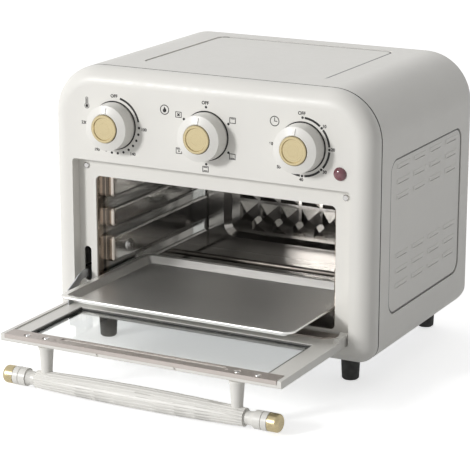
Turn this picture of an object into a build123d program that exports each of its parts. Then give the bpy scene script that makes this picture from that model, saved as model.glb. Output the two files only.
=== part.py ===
from build123d import *
import os
from math import cos, radians, sin, sqrt

os.makedirs("parts", exist_ok=True)

# A countertop air fryer oven with a glass door that drops forward, in millimetres.
# Depths are measured back from the front face, and heights up from the counter.

# Body
body_width = 380.0
body_depth = 262.0
body_top = 314.6
body_bottom = 29.5
top_corner_radius = 53.5
bottom_corner_radius = 20.0
rear_corner_radius = 22.0
touch_gap = 0.3
running_fit = 0.05

# Front frame
frame_depth = 20.0
frame_roll = 18.0
frame_wall = 3.0
seam_gap = 2.0
lip_depth = 8.0

# Recess that the door closes into, and the cooking opening in its floor
recess_from_side = 25.0
recess_above_bottom = 19.0
recess_below_top = 101.3
recess_depth = 13.1
recess_wall = 2.5
recess_corner = 4.0
flange_sheet = 2.0
flange_width = 21.3
flange_below_opening = 12.5
flange_over_opening = 19.9
opening_corner = 6.0
recess_screw_inset = 10.4
recess_screw_below_top = 9.5
screw_radius = 1.7
screw_head_radius = 3.4
screw_head = 1.6
screw_length = 9.0
screw_slot = 0.9

# Sheet wrap over the top and the sides
wrap_sheet = 1.0
return_from_side = 28.0
panel_sunk = 0.8
panel_groove = 1.0
panel_groove_depth = 0.9
side_panel_near = 44.8
side_panel_before_back = 24.1
side_panel_above_bottom = 43.4
side_panel_below_top = 75.9
side_panel_corner = 15.0
top_panel_from_side = 80.5
top_panel_near = 55.0
top_panel_before_back = 23.0
top_panel_corner = 11.0
louver_length = 33.0
louver_height = 6.0
louver_out = 0.6
louver_slope = 55.0
louver_slit = 0.8
louver_pitch = 43.6
louver_row_pitch = 16.2
louver_columns = 4
louver_rows = 3
louver_shift = 2.35
louver_below_panel_top = 25.5
louver_above_panel_low = 44.6

# Back panel and bottom pan
back_sheet = 1.0
back_bend_depth = 26.0
back_vent_length = 26.0
back_vent_width = 3.0
back_vent_pitch = 36.0
back_vent_row_pitch = 9.0
back_vent_columns = 6
back_vent_rows = 5
back_vent_below_top = 52.6
back_screw_head = 1.0
back_screw_from_side = 20.0
back_screw_low = 75.0
back_screw_pitch = 90.0
back_screw_count = 3
pan_sheet = 1.0
pan_from_side = 23.0
pan_near = 29.0
pan_vent_length = 40.0
pan_vent_width = 3.0
pan_vent_pitch = 60.0
pan_vent_row_pitch = 20.0
gland_from_side = 70.0
gland_height = 80.0
gland_radius = 9.0
gland_neck = 6.5
gland_bore = 3.8
gland_length = 9.0

# Feet
foot_from_side = 41.0
front_foot_depth = 43.0
rear_foot_before_back = 14.0
foot_top_radius = 10.6
foot_base_radius = 9.2
foot_edge = 1.5
foot_screw_recess = 5.0
foot_screw_web = 6.0

# Cooking chamber
chamber_sheet = 1.0
chamber_inside_opening = 0.7
floor_below_opening = 4.0
ceiling_above_opening = 3.6
chamber_before_back = 15.0
pad_out = 10.0
pad_near = 31.5
pad_edge = 3.0
pad_corner = 4.0
pad_wall = 1.2
groove_end = 4.8
second_pad_low = 92.0
second_pad_high = 121.4
third_pad_low = 132.0
third_pad_high = 153.6
top_pad_low = 165.1
weld_radius = 1.3
weld_depth = 0.3
weld_depth_behind_front = 22.0
weld_low = 94.5
weld_high = 168.5
plug_depth = 64.0
plug_height = 105.0
plug_radius = 7.0
plug_flange = 1.4
plug_face_radius = 4.2
plug_stem_radius = 3.0
plug_bore = 1.2

# Pressed panel of the back wall
press_from_wall = 30.5
press_slope_sides = 8.0
press_above_floor = 15.3
press_slope_low = 6.0
press_below_ceiling = 7.0
press_slope_high = 8.0
press_corner = 17.0
press_inner_corner = 11.0
press_depth = 6.0
press_sheet = 1.0
pyramid_pitch = 27.0
pyramid_space = 3.5
pyramid_tip = 1.0
pyramid_height = 5.8
pyramid_row_above_press = 27.0
pyramid_columns = 7
pyramid_rows = 3
low_pyramid_base = 18.0
low_pyramid_height = 4.6
low_pyramid_rise = 13.7

# Heating elements
element_radius = 3.25
element_past_chamber = 9.0
terminal_radius = 1.2
terminal_length = 8.0
lower_element_above_floor = 9.0
lower_element_near = 80.0
lower_element_before_back = 65.0
upper_element_below_ceiling = 10.0
upper_element_near = 58.0
upper_element_before_back = 43.0
insulator_radius = 5.5
insulator_collar = 7.5
insulator_collar_length = 2.0

# Fan in the ceiling
fan_before_back = 116.0
guard_past_housing = 2.0
guard_drop = 6.0
guard_sheet = 1.0
guard_rim = 5.0
guard_slot_length = 30.0
guard_slot_width = 3.2
guard_slot_middle = 36.0
guard_slots = 24
guard_hub_holes = 8
guard_hub_hole_middle = 12.0
guard_hub_hole_radius = 2.0
housing_radius = 60.0
housing_height = 24.0
housing_sheet = 1.0
housing_flange = 6.0
fan_radius = 52.0
fan_hub_radius = 9.0
fan_hub_height = 12.0
fan_lift = 5.0
fan_blade_height = 11.0
fan_blade_thickness = 1.0
fan_blade_turn = 20.0
fan_blades = 8
fan_disc = 1.0
shaft_radius = 3.0
shaft_hole_gap = 1.5
cooling_lift = 5.0
cooling_height = 7.0
cooling_radius = 34.0
cooling_hub_radius = 8.0
cooling_blades = 7
cooling_blade_thickness = 1.2
cooling_blade_turn = 35.0
motor_gap = 4.0
motor_radius = 24.0
motor_height = 30.0
motor_edge = 3.0
bracket_half_length = 50.0
bracket_width = 22.0
bracket_sheet = 1.5
bracket_foot = 12.0
cutout_from_housing = 14.0
cutout_radius = 8.0
cutout_height = 9.0
cutout_flange = 1.0
cutout_ear = 12.0
cutout_lead_radius = 1.0
cutout_lead_height = 5.0

# Dials
dial_below_top = 60.0
outer_dial_from_side = 79.0
knob_radius = 25.3
knob_shoulder_radius = 24.3
knob_base_step = 1.6
knob_gap = 0.8
knob_shoulder = 18.0
knob_front = 21.0
knob_edge = 1.0
cap_radius = 15.5
cap_seat = 1.5
cap_gap = 0.45
cap_front = 23.0
cap_disc_radius = 11.75
cap_disc_depth = 1.2
cap_edge = 0.6
pointer_inner = 16.3
pointer_outer = 22.3
pointer_width = 3.0
pointer_out = 0.8
pointer_root = 1.5
spindle_radius = 3.0
spindle_front = 15.0
spindle_back = 26.0
spindle_hole = 4.4

# Controls behind the dials
control_plate_depth = 12.0
control_plate = 1.2
control_plate_from_side = 50.0
control_plate_half_height = 26.0
control_neck_radius = 4.0
control_neck_front = 5.0
thermostat_width = 34.0
thermostat_height = 26.0
thermostat_depth = 20.0
switch_width = 36.0
switch_height = 36.0
switch_depth = 24.0
timer_radius = 22.0
timer_depth = 28.0
tab_width = 6.0
tab_thickness = 0.8
tab_length = 8.0
tab_pitch = 12.0
control_edge = 1.5
plate_leg_width = 14.0

# Power lamp
lamp_from_side = 36.5
lamp_below_dials = 23.5
lens_radius = 7.0
lens_flange = 1.0
lens_dome = 3.2
lens_stem_radius = 5.7
lens_stem_length = 9.0
lens_wall = 1.0
lamp_hole = 6.0
lamp_bulb_radius = 2.6
lamp_bulb_length = 9.0
lamp_holder_length = 8.0

# Door, given as it lies open: along the door from the hinge, and down from its inner face
hinge_depth = 5.5
hinge_above_recess = 9.0
hinge_above_face = 1.0
hinge_pin_radius = 2.0
hinge_pin_reach = 9.0
hinge_head_radius = 2.4
hinge_head = 1.5
knuckle_radius = 4.5
knuckle_width = 8.5
door_side_gap = 2.5
door_top_gap = 1.4
door_heel = 5.0
door_thickness = 7.0
door_heel_round = 4.0
door_edge_round = 1.5
rim_width = 4.5
rim_height = 1.2
ear_width = 6.0
ear_near = 5.5
ear_far = 21.5
ear_height = 5.0
window_near = 39.0
window_from_free_edge = 24.4
window_from_side = 29.0
window_corner = 3.0
glass_over_window = 5.5
glass_border = 5.0
glass_thickness = 3.5
glass_below_face = 2.5
gasket_width = 1.2
gasket_height = 1.4
trim_thickness = 1.4
trim_width = 18.0
trim_from_side = 5.0
trim_lip = 3.0
trim_lip_thickness = 0.8
trim_slot_from_end = 62.0
trim_slot_width = 5.0
trim_slot_from_edge = 13.0
dimple_radius = 4.2
dimple_depth = 1.0
door_screw_from_edge = 7.6
trim_screw_from_end = 24.0
small_screw_from_post = 12.5
small_dimple_radius = 2.4
hinge_strip_thickness = 1.6
hinge_strip_from_side = 12.5
hinge_strip_near = -4.0
hinge_strip_far = 13.5
hinge_strip_cut = 10.0
notch_across = 45.0
notch_width = 5.0
notch_height = 3.6
notch_depth = 1.2

# Handle
bar_from_free_edge = 6.0
bar_drop = 43.9
grip_past_post = 10.5
grip_middle_radius = 11.8
grip_end_radius = 9.4
flute_radius = 0.9
flute_sunk = 0.35
flutes = 20
neck_radius = 7.0
neck_flare_length = 11.5
collar_radius = 9.6
collar_length = 7.8
groove_radius = 8.4
groove_width = 0.8
ring_length = 7.0
cap_spigot_radius = 5.0
cap_spigot_length = 6.0
end_cap_gap = 0.6
end_cap_length = 12.1
end_cap_radius = 9.5
end_cap_edge = 4.0
post_from_side = 51.5
post_flange_radius = 8.6
post_flange = 2.4
post_top_radius = 7.6
post_bottom_radius = 6.0
post_socket = 5.0
handle_screw_length = 20.0

# Stay arm on the left of the door, and its spring
arm_from_recess_side = 9.5
arm_thickness = 1.2
arm_inner_radius = 21.0
arm_outer_radius = 30.0
arm_tail_angle = 45.0
arm_front_angle = 130.0
arm_base_near = 19.5
arm_base_far = 34.5
arm_shoulder_height = 17.0
arm_hook_radius = 25.5
arm_hook_angle = 54.0
arm_hook_hole = 1.6
slot_width = 9.0
slot_low_above_hinge = 15.5
slot_high_above_hinge = 55.0
spring_radius = 3.0
spring_wire = 1.0
spring_end = 8.0
anchor_depth = 92.0
anchor_height = 44.0
anchor_width = 12.0
anchor_sheet = 1.2
anchor_foot = 9.0
anchor_top = 5.0

# Baking tray, as it stands partly pulled out
tray_side_gap = 5.0
tray_near = -78.0
tray_back_gap = 2.0
tray_closed_near = 56.0
tray_top_above_floor = 25.5
tray_depth = 8.0
tray_rim = 5.8
tray_rim_thickness = 2.6
tray_rim_round = 1.1
tray_corner = 11.0
tray_shoulder_corner = 7.0
tray_foot_corner = 4.0
tray_slope = 6.0
tray_sheet = 1.0

# Places that follow from the sizes above
half_width = body_width / 2
recess_half_width = half_width - recess_from_side
recess_low = body_bottom + recess_above_bottom
recess_high = body_top - recess_below_top
opening_half_width = recess_half_width - flange_width
opening_low = recess_low + flange_below_opening
opening_high = recess_high - flange_over_opening
recess_screw_across = recess_half_width - recess_screw_inset
recess_screw_height = recess_high - recess_screw_below_top
flange_back = recess_depth + flange_sheet
seam_back = frame_depth + seam_gap

# Sheet wrap, back, pan and feet
wrap_return = half_width - return_from_side
side_panel_far = body_depth - side_panel_before_back
side_panel_low = body_bottom + side_panel_above_bottom
side_panel_high = body_top - side_panel_below_top
top_panel_half_width = half_width - top_panel_from_side
top_panel_far = body_depth - top_panel_before_back
louver_middle = (side_panel_near + side_panel_far) / 2 + louver_shift
louver_upper = side_panel_high - louver_below_panel_top
louver_lower = side_panel_low + louver_above_panel_low
back_return = body_depth - back_bend_depth
back_outer = body_depth - wrap_sheet - touch_gap
back_vent_height = body_top - back_vent_below_top
back_screw_across = half_width - back_screw_from_side
pan_underside = body_bottom + wrap_sheet
pan_half_width = half_width - pan_from_side
gland_across = half_width - gland_from_side
foot_across = half_width - foot_from_side
rear_foot_depth = body_depth - rear_foot_before_back

# Chamber, elements and fan
chamber_half_width = opening_half_width - chamber_inside_opening
chamber_floor = opening_low - floor_below_opening
chamber_ceiling = opening_high + ceiling_above_opening
chamber_back = body_depth - chamber_before_back
press_half_width = chamber_half_width - press_from_wall
press_inner_half_width = press_half_width - press_slope_sides
press_low = chamber_floor + press_above_floor
press_inner_low = press_low + press_slope_low
press_high = chamber_ceiling - press_below_ceiling
press_inner_high = press_high - press_slope_high
pyramid_base = pyramid_pitch - pyramid_space
pyramid_row = press_inner_low + pyramid_row_above_press
low_pyramid_row = press_inner_low + low_pyramid_rise
element_end = chamber_half_width + element_past_chamber
terminal_end = element_end + terminal_length
lower_element_height = chamber_floor + lower_element_above_floor
lower_element_far = chamber_back - lower_element_before_back
upper_element_height = chamber_ceiling - upper_element_below_ceiling
upper_element_far = chamber_back - upper_element_before_back
fan_depth = chamber_back - fan_before_back
guard_radius = housing_radius + guard_past_housing
cutout_across = -(housing_radius + housing_flange + cutout_from_housing + cutout_radius + cutout_ear)

# Dials, controls and lamp
dial_height = body_top - dial_below_top
dial_pitch = half_width - outer_dial_from_side
dials = [-dial_pitch, 0.0, dial_pitch]
control_plate_half_width = half_width - control_plate_from_side
lamp_across = half_width - lamp_from_side
lamp_height = dial_height - lamp_below_dials

# Door, handle and stay arm
hinge_height = recess_low + hinge_above_recess
door_half_width = recess_half_width - door_side_gap
door_length = recess_high - hinge_height - door_top_gap
door_face = hinge_height - hinge_above_face
door_underside = door_face - door_thickness
window_far = door_length - window_from_free_edge
window_half_width = door_half_width - window_from_side
glass_half_width = window_half_width + glass_over_window
trim_half_width = door_half_width - trim_from_side
trim_slot_half_length = trim_half_width - trim_slot_from_end
trim_screw_across = trim_half_width - trim_screw_from_end
post_across = door_half_width - post_from_side
small_screw_across = post_across - small_screw_from_post
hinge_strip_half_width = door_half_width - hinge_strip_from_side
grip_half_length = post_across + grip_past_post
neck_flare_end = grip_half_length + neck_flare_length
collar_end = neck_flare_end + collar_length
ring_end = collar_end + ring_length
end_cap_start = ring_end + end_cap_gap
end_cap_end = end_cap_start + end_cap_length
bar_depth = hinge_depth - door_length + bar_from_free_edge
bar_height = door_face - bar_drop
arm_across = arm_from_recess_side - recess_half_width
slot_low = hinge_height + slot_low_above_hinge
slot_high = hinge_height + slot_high_above_hinge

# Tray, and the pads that it rests on
tray_half_width = chamber_half_width - tray_side_gap
tray_length = chamber_back - tray_back_gap - tray_closed_near
tray_top = chamber_floor + tray_top_above_floor
tray_floor = tray_top - tray_depth
first_pad_high = tray_top - tray_rim_thickness - touch_gap

# Middle of the object's depth, with the open door and its handle
front_y = (grip_middle_radius - bar_depth - body_depth) / 2


def facing(depth, height=0.0, across=0.0):
    """Plane parallel to the front and looking out of it, drawn in width and height."""
    return Plane(origin=(across, front_y + depth, height), x_dir=(1, 0, 0), z_dir=(0, -1, 0))


def beside(across, depth=0.0, height=0.0):
    """Plane parallel to the sides, drawn in depth and height, looking to the right."""
    return Plane(origin=(across, front_y + depth, height), x_dir=(0, 1, 0), z_dir=(1, 0, 0))


def level(height, across=0.0, depth=0.0):
    """Horizontal plane, drawn in width and depth."""
    return Plane(origin=(across, front_y + depth, height))


def turned_upright(across, depth, height, points):
    """Solid turned about a vertical axis, from points of radius and height."""
    with BuildPart() as body:
        with BuildSketch(facing(depth, height, across)):
            with BuildLine():
                Polyline(*points, close=True)
            make_face()
        revolve(axis=Axis((across, front_y + depth, height), (0, 0, 1)))
    return body.part


def turned_outward(across, height, points):
    """Solid turned about an axis square to the front, from points of radius and depth."""
    with BuildPart() as body:
        with BuildSketch(level(height, across)):
            with BuildLine():
                Polyline(*points, close=True)
            make_face()
        revolve(axis=Axis((across, front_y, height), (0, 1, 0)))
    return body.part


def turned_across(depth, height, points):
    """Solid turned about an axis along the width, from points of width and radius."""
    with BuildPart() as body:
        with BuildSketch(facing(depth, height)):
            with BuildLine():
                Polyline(*points, close=True)
            make_face()
        revolve(axis=Axis((0, front_y + depth, height), (1, 0, 0)))
    return body.part


def body_outline(depth, inset):
    """Outline of the body seen from the front, drawn in by an inset."""
    with BuildSketch(facing(depth)) as outline:
        with Locations((0, (body_top + body_bottom) / 2)):
            Rectangle(body_width - 2 * inset, body_top - body_bottom - 2 * inset)
        fillet(outline.vertices().group_by(Axis.Y)[-1], top_corner_radius - inset)
        fillet(outline.vertices().group_by(Axis.Y)[0], bottom_corner_radius - inset)
    return outline.sketch


def body_side(inset):
    """Side view of the body with its rounded lower rear corner, drawn in by an inset."""
    rear = body_depth - inset
    low = body_bottom + inset
    with BuildSketch(beside(0)) as side:
        with BuildLine():
            Polyline((rear, body_top), (0, body_top), (0, low), (rear, low), (rear, body_top))
        make_face()
        corner = side.vertices().group_by(Axis.Y)[0].sort_by(Axis.X)[-1]
        fillet(corner, rear_corner_radius - inset)
    return side.sketch


def pan_screw(across, depth, height, length):
    """Pan-head screw that points back from a face seen from the front."""
    return turned_outward(across, height, [
        (0, depth - screw_head),
        (screw_head_radius - screw_slot, depth - screw_head),
        (screw_head_radius, depth - screw_slot),
        (screw_head_radius, depth),
        (screw_radius, depth),
        (screw_radius, depth + length),
        (0, depth + length),
    ])


# Front frame: rolled edge, door recess, cooking opening and the lip that the wrap slides over
with BuildPart() as frame_hollow:
    extrude(body_outline(frame_wall, frame_wall), amount=-frame_depth)
    fillet(frame_hollow.faces().sort_by(Axis.Y)[0].edges(), frame_roll - frame_wall)

with BuildPart() as front_frame:
    extrude(body_outline(0, 0), amount=-frame_depth)
    fillet(front_frame.faces().sort_by(Axis.Y)[0].edges(), frame_roll)
    add(frame_hollow.part, mode=Mode.SUBTRACT)
    lip_inset = wrap_sheet + touch_gap
    extrude(body_outline(frame_depth, lip_inset) - body_outline(frame_depth, frame_wall), amount=-lip_depth)
    with BuildSketch(facing(frame_wall / 2)):
        with Locations((0, (recess_low + recess_high) / 2)):
            Rectangle(2 * (recess_half_width + recess_wall), recess_high - recess_low + 2 * recess_wall)
    extrude(amount=-(flange_back - frame_wall / 2))
    with BuildSketch(facing(0)):
        with Locations((0, (recess_low + recess_high) / 2)):
            RectangleRounded(2 * recess_half_width, recess_high - recess_low, recess_corner)
    extrude(amount=-recess_depth, mode=Mode.SUBTRACT)
    with BuildSketch(facing(0)):
        with Locations((0, (opening_low + opening_high) / 2)):
            RectangleRounded(2 * opening_half_width, opening_high - opening_low, opening_corner)
        with Locations((arm_across, (slot_low + slot_high) / 2)):
            SlotOverall(slot_high - slot_low, slot_width, rotation=90)
        with Locations(*[(across, dial_height) for across in dials]):
            Circle(spindle_hole)
        with Locations((lamp_across, lamp_height)):
            Circle(lamp_hole)
        with Locations(*[(side * recess_screw_across, recess_screw_height) for side in (-1, 1)]):
            Circle(screw_radius)
    extrude(amount=-frame_depth, mode=Mode.SUBTRACT)
    with BuildSketch(beside(0, hinge_depth, hinge_height)):
        Circle(hinge_pin_radius)
    extrude(amount=recess_half_width + recess_wall, both=True, mode=Mode.SUBTRACT)
front_frame.part.label = "front_frame"
export_step(front_frame.part, "parts/front_frame.step")

with BuildPart() as recess_screws:
    for side in (-1, 1):
        add(pan_screw(side * recess_screw_across, recess_depth, recess_screw_height, screw_length))
recess_screws.part.label = "recess_screws"
export_step(recess_screws.part, "parts/recess_screws.step")

# Wrap: one sheet over the top and both sides, turned in under the bottom corners
with BuildPart() as wrap_side_block:
    extrude(body_side(0), amount=half_width, both=True)

def panel_band(plane, middle, size, corner, outward, inward):
    """Band that follows the edge of a sunk panel, in sketch form."""
    with BuildSketch(plane) as band:
        with Locations(middle):
            RectangleRounded(size[0] + 2 * outward, size[1] + 2 * outward, corner + outward)
            RectangleRounded(size[0] - 2 * inward, size[1] - 2 * inward, corner - inward, mode=Mode.SUBTRACT)
    return band.sketch


with BuildPart() as body_wrap:
    shell_length = body_depth - seam_back
    extrude(body_outline(seam_back, 0) - body_outline(seam_back, wrap_sheet), amount=-shell_length)
    with BuildSketch(facing(seam_back)):
        with Locations((0, body_bottom)):
            Rectangle(2 * wrap_return, bottom_corner_radius)
    extrude(amount=-shell_length, mode=Mode.SUBTRACT)
    for side in (-1, 1):
        panel_size = (side_panel_far - side_panel_near, side_panel_high - side_panel_low)
        panel_middle = ((side_panel_far + side_panel_near) / 2, (side_panel_high + side_panel_low) / 2)
        with BuildSketch(beside(side * half_width)):
            with Locations(panel_middle):
                RectangleRounded(panel_size[0] + 2 * wrap_sheet, panel_size[1] + 2 * wrap_sheet,
                                 side_panel_corner + wrap_sheet)
        extrude(amount=-side * (panel_sunk + wrap_sheet))
        groove_bottom = panel_sunk + panel_groove_depth
        backing = panel_band(beside(side * half_width), panel_middle, panel_size, side_panel_corner,
                             wrap_sheet, panel_groove + wrap_sheet)
        extrude(backing, amount=-side * (groove_bottom + wrap_sheet))
        with BuildSketch(beside(side * half_width)):
            with Locations(panel_middle):
                RectangleRounded(*panel_size, side_panel_corner)
        extrude(amount=-side * panel_sunk, mode=Mode.SUBTRACT)
        groove = panel_band(beside(side * half_width), panel_middle, panel_size, side_panel_corner,
                            0, panel_groove)
        extrude(groove, amount=-side * groove_bottom, mode=Mode.SUBTRACT)
        for group_height in (louver_lower, louver_upper):
            with BuildSketch(beside(side * (half_width - panel_sunk))):
                with Locations((louver_middle, group_height)):
                    with GridLocations(louver_pitch, louver_row_pitch, louver_columns, louver_rows):
                        Rectangle(louver_length, louver_height)
            extrude(amount=side * louver_out, taper=louver_slope)
            with BuildSketch(beside(side * half_width)):
                with Locations((louver_middle, group_height - louver_height / 2 + louver_slit)):
                    with GridLocations(louver_pitch, louver_row_pitch, louver_columns, louver_rows):
                        Rectangle(louver_length - louver_height, louver_slit)
            extrude(amount=-side * (panel_sunk + wrap_sheet), mode=Mode.SUBTRACT)
    top_panel_length = top_panel_far - top_panel_near
    top_panel_middle = (0, (top_panel_far + top_panel_near) / 2)
    with BuildSketch(level(body_top)):
        with Locations(top_panel_middle):
            RectangleRounded(2 * (top_panel_half_width + wrap_sheet), top_panel_length + 2 * wrap_sheet,
                             top_panel_corner + wrap_sheet)
    extrude(amount=-(panel_sunk + wrap_sheet))
    top_panel_size = (2 * top_panel_half_width, top_panel_length)
    backing = panel_band(level(body_top), top_panel_middle, top_panel_size, top_panel_corner,
                         wrap_sheet, panel_groove + wrap_sheet)
    extrude(backing, amount=-(groove_bottom + wrap_sheet))
    with BuildSketch(level(body_top)):
        with Locations(top_panel_middle):
            RectangleRounded(*top_panel_size, top_panel_corner)
    extrude(amount=-panel_sunk, mode=Mode.SUBTRACT)
    groove = panel_band(level(body_top), top_panel_middle, top_panel_size, top_panel_corner, 0, panel_groove)
    extrude(groove, amount=-groove_bottom, mode=Mode.SUBTRACT)
    add(wrap_side_block.part, mode=Mode.INTERSECT)
body_wrap.part.label = "body_wrap"
export_step(body_wrap.part, "parts/body_wrap.step")

# Back panel: flat sheet inside the wrap that bends forward under the rounded lower corner
back_inset = wrap_sheet + touch_gap
with BuildPart() as back_bend:
    extrude(body_side(back_inset) - body_side(back_inset + back_sheet), amount=half_width, both=True)

with BuildPart() as back_panel:
    extrude(body_outline(back_return, back_inset), amount=-(body_depth - back_return))
    add(back_bend.part, mode=Mode.INTERSECT)
    back_screw_spots = [
        (side * back_screw_across, back_screw_low + step * back_screw_pitch)
        for side in (-1, 1) for step in range(back_screw_count)
    ]
    with BuildSketch(facing(back_return)):
        with Locations((0, back_vent_height)):
            with GridLocations(back_vent_pitch, back_vent_row_pitch, back_vent_columns, back_vent_rows):
                SlotOverall(back_vent_length, back_vent_width)
        with Locations((gland_across, gland_height)):
            Circle(gland_neck)
        with Locations(*back_screw_spots):
            Circle(screw_radius)
    extrude(amount=-(body_depth - back_return), mode=Mode.SUBTRACT)
    with BuildSketch(level(body_bottom)):
        with Locations(*[(side * foot_across, rear_foot_depth) for side in (-1, 1)]):
            Circle(screw_radius)
    extrude(amount=rear_corner_radius, mode=Mode.SUBTRACT)
back_panel.part.label = "back_panel"
export_step(back_panel.part, "parts/back_panel.step")

with BuildPart() as back_screws:
    for across, height in back_screw_spots:
        add(turned_outward(across, height, [
            (0, back_outer + back_screw_head),
            (screw_head_radius, back_outer + back_screw_head),
            (screw_head_radius, back_outer),
            (screw_radius, back_outer),
            (screw_radius, back_outer - screw_length),
            (0, back_outer - screw_length),
        ]))
back_screws.part.label = "back_screws"
export_step(back_screws.part, "parts/back_screws.step")

# Gland that the mains cord would come out of
with BuildPart() as cord_gland:
    inner_face = back_outer - back_sheet
    add(turned_outward(gland_across, gland_height, [
        (gland_bore, back_outer + back_screw_head),
        (gland_radius, back_outer + back_screw_head),
        (gland_radius, back_outer),
        (gland_neck, back_outer),
        (gland_neck, inner_face),
        (gland_radius, inner_face),
        (gland_neck, back_outer - gland_length),
        (gland_bore, back_outer - gland_length),
    ]))
cord_gland.part.label = "cord_gland"
export_step(cord_gland.part, "parts/cord_gland.step")

# Bottom pan: rests on the turned-in edges of the wrap
foot_spots = [
    (side * foot_across, depth) for side in (-1, 1) for depth in (front_foot_depth, rear_foot_depth)
]
with BuildPart() as bottom_pan:
    pan_length = back_return - touch_gap - pan_near
    with BuildSketch(level(pan_underside, 0, pan_near + pan_length / 2)):
        Rectangle(2 * pan_half_width, pan_length)
        with GridLocations(pan_vent_pitch, pan_vent_row_pitch, back_vent_columns - 2, back_vent_rows):
            SlotOverall(pan_vent_length, pan_vent_width, mode=Mode.SUBTRACT)
    extrude(amount=pan_sheet)
    with BuildSketch(level(pan_underside)):
        with Locations(*[(side * foot_across, front_foot_depth) for side in (-1, 1)]):
            Circle(screw_radius)
    extrude(amount=pan_sheet, mode=Mode.SUBTRACT)
bottom_pan.part.label = "bottom_pan"
export_step(bottom_pan.part, "parts/bottom_pan.step")

# Feet: tapered rubber, cut to the underside that they are screwed to
with BuildPart() as underside_block:
    extrude(body_side(back_inset), amount=half_width, both=True)

with BuildPart() as front_underside:
    with BuildSketch(level(pan_underside)):
        with Locations((0, body_depth / 4)):
            Rectangle(body_width, body_depth / 2)
    extrude(amount=rear_corner_radius)

with BuildPart() as rubber_feet:
    for across, depth in foot_spots:
        add(turned_upright(across, depth, 0, [
            (0, 0),
            (foot_base_radius - foot_edge, 0),
            (foot_base_radius, foot_edge),
            (foot_top_radius, pan_underside),
            (foot_top_radius, pan_underside + rear_corner_radius / 2),
            (0, pan_underside + rear_corner_radius / 2),
        ]))
        add(turned_upright(across, depth, 0, [
            (0, 0),
            (foot_screw_recess, 0),
            (foot_screw_recess, pan_underside - foot_screw_web),
            (screw_radius, pan_underside - foot_screw_web),
            (screw_radius, body_bottom + rear_corner_radius),
            (0, body_bottom + rear_corner_radius),
        ]), mode=Mode.SUBTRACT)
    add(underside_block.part, mode=Mode.SUBTRACT)
    add(front_underside.part, mode=Mode.SUBTRACT)
rubber_feet.part.label = "rubber_feet"
export_step(rubber_feet.part, "parts/rubber_feet.step")

with BuildPart() as foot_screws:
    for across, depth in foot_spots:
        head_top = pan_underside - foot_screw_web
        add(turned_upright(across, depth, 0, [
            (0, head_top - screw_head),
            (screw_head_radius, head_top - screw_head),
            (screw_head_radius, head_top),
            (screw_radius, head_top),
            (screw_radius, pan_underside + screw_length),
            (0, pan_underside + screw_length),
        ]))
foot_screws.part.label = "foot_screws"
export_step(foot_screws.part, "parts/foot_screws.step")


# Chamber walls: each has four raised pads that leave three runs for a tray between them
pad_spans = [
    (chamber_floor, first_pad_high),
    (second_pad_low, second_pad_high),
    (third_pad_low, third_pad_high),
    (top_pad_low, chamber_ceiling),
]
element_spots = [
    (lower_element_near, lower_element_height),
    (lower_element_far, lower_element_height),
    (upper_element_near, upper_element_height),
    (upper_element_far, upper_element_height),
]


def pad_outline(across, inset):
    """Outline of the raised pads and the column that joins them at the back."""
    with BuildSketch(beside(across)) as pads:
        for low, high in pad_spans:
            with Locations(((pad_near + chamber_back) / 2, (low + high) / 2)):
                Rectangle(chamber_back - pad_near - 2 * inset, high - low - 2 * inset)
        with Locations((chamber_back - groove_end / 2, (chamber_floor + chamber_ceiling) / 2)):
            Rectangle(groove_end - 2 * inset, chamber_ceiling - chamber_floor - 2 * inset)
        near_corners = pads.vertices().group_by(Axis.X)[0]
        fillet(near_corners, pad_corner - inset)
    return pads.sketch


def chamber_wall(side):
    """Side wall of the chamber: flat sheet with hollow pads pressed inward."""
    outer = side * (chamber_half_width + chamber_sheet)
    with BuildPart() as wall:
        extrude(pad_outline(side * chamber_half_width, 0), amount=-side * pad_out)
        pad_faces = wall.faces().filter_by(Axis.X).sort_by(Axis.X)
        inner_face = pad_faces[0] if side > 0 else pad_faces[-1]
        inner_edges = inner_face.edges().filter_by(
            lambda edge: edge.center().Y < front_y + chamber_back - groove_end / 2)
        fillet(inner_edges, pad_edge)
        with BuildSketch(beside(side * chamber_half_width)):
            with Locations(((flange_back + chamber_back) / 2, (chamber_floor + chamber_ceiling) / 2)):
                Rectangle(chamber_back - flange_back, chamber_ceiling - chamber_floor)
        extrude(amount=side * chamber_sheet)
        hollow = pad_outline(outer, pad_wall)
        extrude(hollow, amount=-side * (pad_out + chamber_sheet - pad_wall), mode=Mode.SUBTRACT)
        with BuildSketch(beside(0)):
            with Locations(*element_spots):
                Circle(element_radius + touch_gap)
        extrude(amount=outer, mode=Mode.SUBTRACT)
        with BuildSketch(beside(side * (chamber_half_width - weld_depth))):
            with Locations(*[(weld_depth_behind_front, height) for height in (weld_low, weld_high)]):
                Circle(weld_radius)
        extrude(amount=-side * pad_out, mode=Mode.SUBTRACT)
        if side < 0:
            with BuildSketch(beside(0)):
                with Locations((plug_depth, plug_height)):
                    Circle(plug_stem_radius)
            extrude(amount=outer, mode=Mode.SUBTRACT)
    return wall.part


with BuildPart() as cavity_left_wall:
    add(chamber_wall(-1))
cavity_left_wall.part.label = "cavity_left_wall"
export_step(cavity_left_wall.part, "parts/cavity_left_wall.step")

with BuildPart() as cavity_right_wall:
    add(chamber_wall(1))
cavity_right_wall.part.label = "cavity_right_wall"
export_step(cavity_right_wall.part, "parts/cavity_right_wall.step")

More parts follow.
